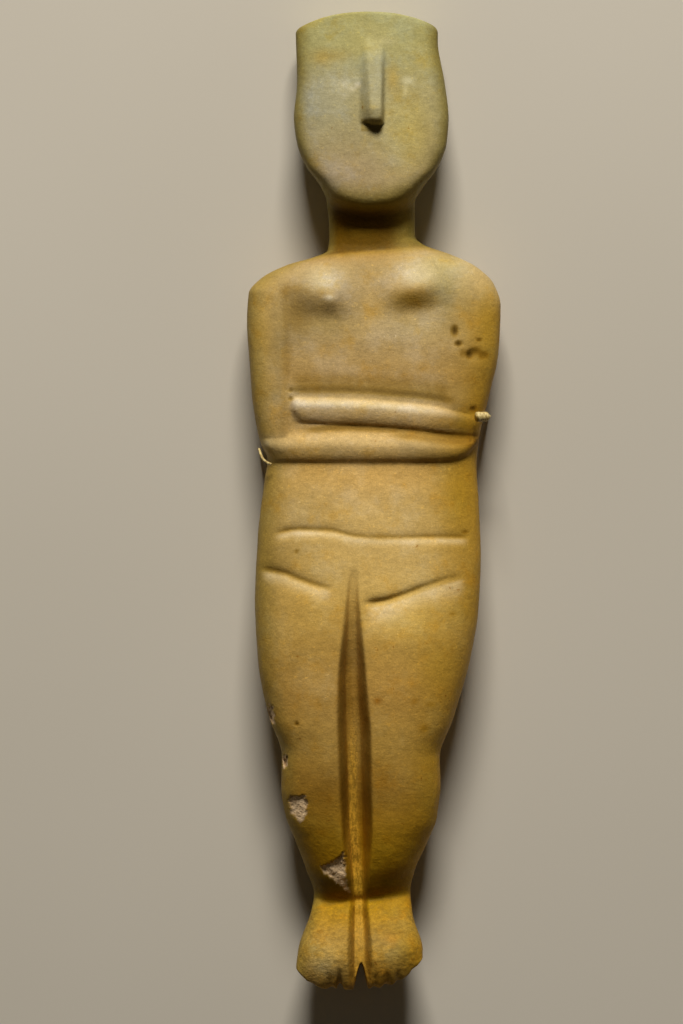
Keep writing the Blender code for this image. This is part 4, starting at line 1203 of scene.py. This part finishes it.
def area_light(name, offset, size, watts, colour):
    """A soft rectangular lamp that shines at the chest."""
    data = bpy.data.lights.new(name, "AREA")
    data.shape = "RECTANGLE"
    data.size, data.size_y = size
    data.energy = watts
    data.color = colour
    lamp = placed(name, data)
    lamp.location = CHEST + offset
    lamp.rotation_euler = (-offset).to_track_quat("-Z", "Y").to_euler()


def studio():
    floor = bpy.data.meshes.new("floor")
    corners = [(x, y, FLOOR_LEVEL) for x, y in ((-1, -1), (1, -1), (1, 1), (-1, 1))]
    floor.from_pydata([(FLOOR_HALF * x, FLOOR_HALF * y, z) for x, y, z in corners], [], [(0, 1, 2, 3)])
    floor.materials.append(pale_floor())
    ground = placed("floor", floor)

    for lamp in LAMPS:
        area_light(*lamp)
    world = bpy.data.worlds.new("studio")
    world.use_nodes = True
    background = world.node_tree.nodes["Background"]
    background.inputs["Color"].default_value = ROOM_COLOUR
    background.inputs["Strength"].default_value = ROOM_STRENGTH
    bpy.context.scene.world = world


FRAME_HEIGHT = 420.1  # body units that the picture's long side shows, at the widest line
AIM = (-9.9, 194.8, 18)
LEAN = 0.0118  # the camera's turn to the left, in radians
CAMERA_DISTANCE = 2
SENSOR = 36


def camera():
    data = bpy.data.cameras.new("camera")
    data.sensor_width = SENSOR
    data.lens = SENSOR * CAMERA_DISTANCE / (FRAME_HEIGHT * UNIT)
    eye = placed("camera", data)
    eye.matrix_world = (
        Matrix.Translation(Vector(to_metres(AIM)) + Vector((0, 0, CAMERA_DISTANCE)))
        @ Matrix.Rotation(LEAN, 4, "Z")
    )
    bpy.context.scene.camera = eye


# ---- mounts at the elbows
PIN_RADIUS = 0.7
SLEEVE_RADIUS = 2.1
STRIP_RADIUS = 0.5
PIN_ROUTE = (  # x, y, z, radius
    (49.9, 234.6, 0, PIN_RADIUS), (49.9, 234.6, 12, PIN_RADIUS), (49.9, 234.6, 22, PIN_RADIUS),
    (50, 234.5, 27, PIN_RADIUS), (49.4, 234.4, 30.2, PIN_RADIUS),
    (48.4, 234.3, 31.4, SLEEVE_RADIUS), (44.8, 234.2, 33.4, SLEEVE_RADIUS),
)
STRIP_ROUTE = tuple(
    (*place, STRIP_RADIUS) for place in (
        (-44, 220.2, 0), (-44, 220.2, 12), (-44, 220.2, 19), (-43.8, 219.8, 23.5),
        (-43.1, 217.8, 26.4), (-42.1, 216, 28.2), (-40.4, 214.6, 29.5), (-38.7, 213.9, 30.4),
    )
)
STEPS_A_STATION = 24
AROUND = 20
RIB_SPACING = 0.85
RIB_HEIGHT = 0.09  # share of the radius
RIBBED_FROM = (0.8 * SLEEVE_RADIUS, 0.95 * SLEEVE_RADIUS)  # only the thick sleeve is ribbed


def mount_mesh(name, route):
    """A round pin of changing thickness along a smooth route; its thick sleeve is ribbed."""
    stations = [(k, *point) for k, point in enumerate(route)]
    at = np.linspace(0, len(route) - 1, STEPS_A_STATION * (len(route) - 1) + 1)
    centres = np.stack([smooth_through(stations, column, at) for column in (1, 2, 3)], axis=-1)
    radius = smooth_through(stations, 4, at)
    lengths = np.concatenate([[0], np.cumsum(np.linalg.norm(np.diff(centres, axis=0), axis=1))])
    ribs = (1 + np.cos(2 * np.pi * lengths / RIB_SPACING)) / 2
    radius = radius * (1 - RIB_HEIGHT * soft_step(radius, *RIBBED_FROM) * ribs)
    ahead = np.gradient(centres, axis=0)
    ahead /= np.linalg.norm(ahead, axis=1, keepdims=True)
    side = np.cross(ahead, (0, 1, 0))
    side /= np.linalg.norm(side, axis=1, keepdims=True)
    other = np.cross(ahead, side)
    turn = np.linspace(0, 2 * np.pi, AROUND, endpoint=False)[:, None]
    spokes = np.cos(turn) * side[:, None] + np.sin(turn) * other[:, None]
    rings = centres[:, None] + radius[:, None, None] * spokes
    ids = numbered(0, len(rings), AROUND)
    faces = grid_faces(np.hstack([ids, ids[:, :1]])) + [ids[0, ::-1].tolist(), ids[-1].tolist()]
    mesh = bpy.data.meshes.new(name)
    mesh.from_pydata(to_metres(rings.reshape(-1, 3)).tolist(), [], faces)
    mesh.update()
    mesh.shade_smooth()
    return mesh


def main():
    camera()
    show("figurine_marble", figurine_mesh(), marble(), "marble", "figurine")
    cream = coating()
    for node, route in (("elbow_pin", PIN_ROUTE), ("elbow_strip", STRIP_ROUTE)):
        show(f"{node}_fine", mount_mesh(f"{node}_fine", route), cream, "mount_coating", node)
    studio()
    bpy.context.scene.view_settings.view_transform = "Standard"


main()
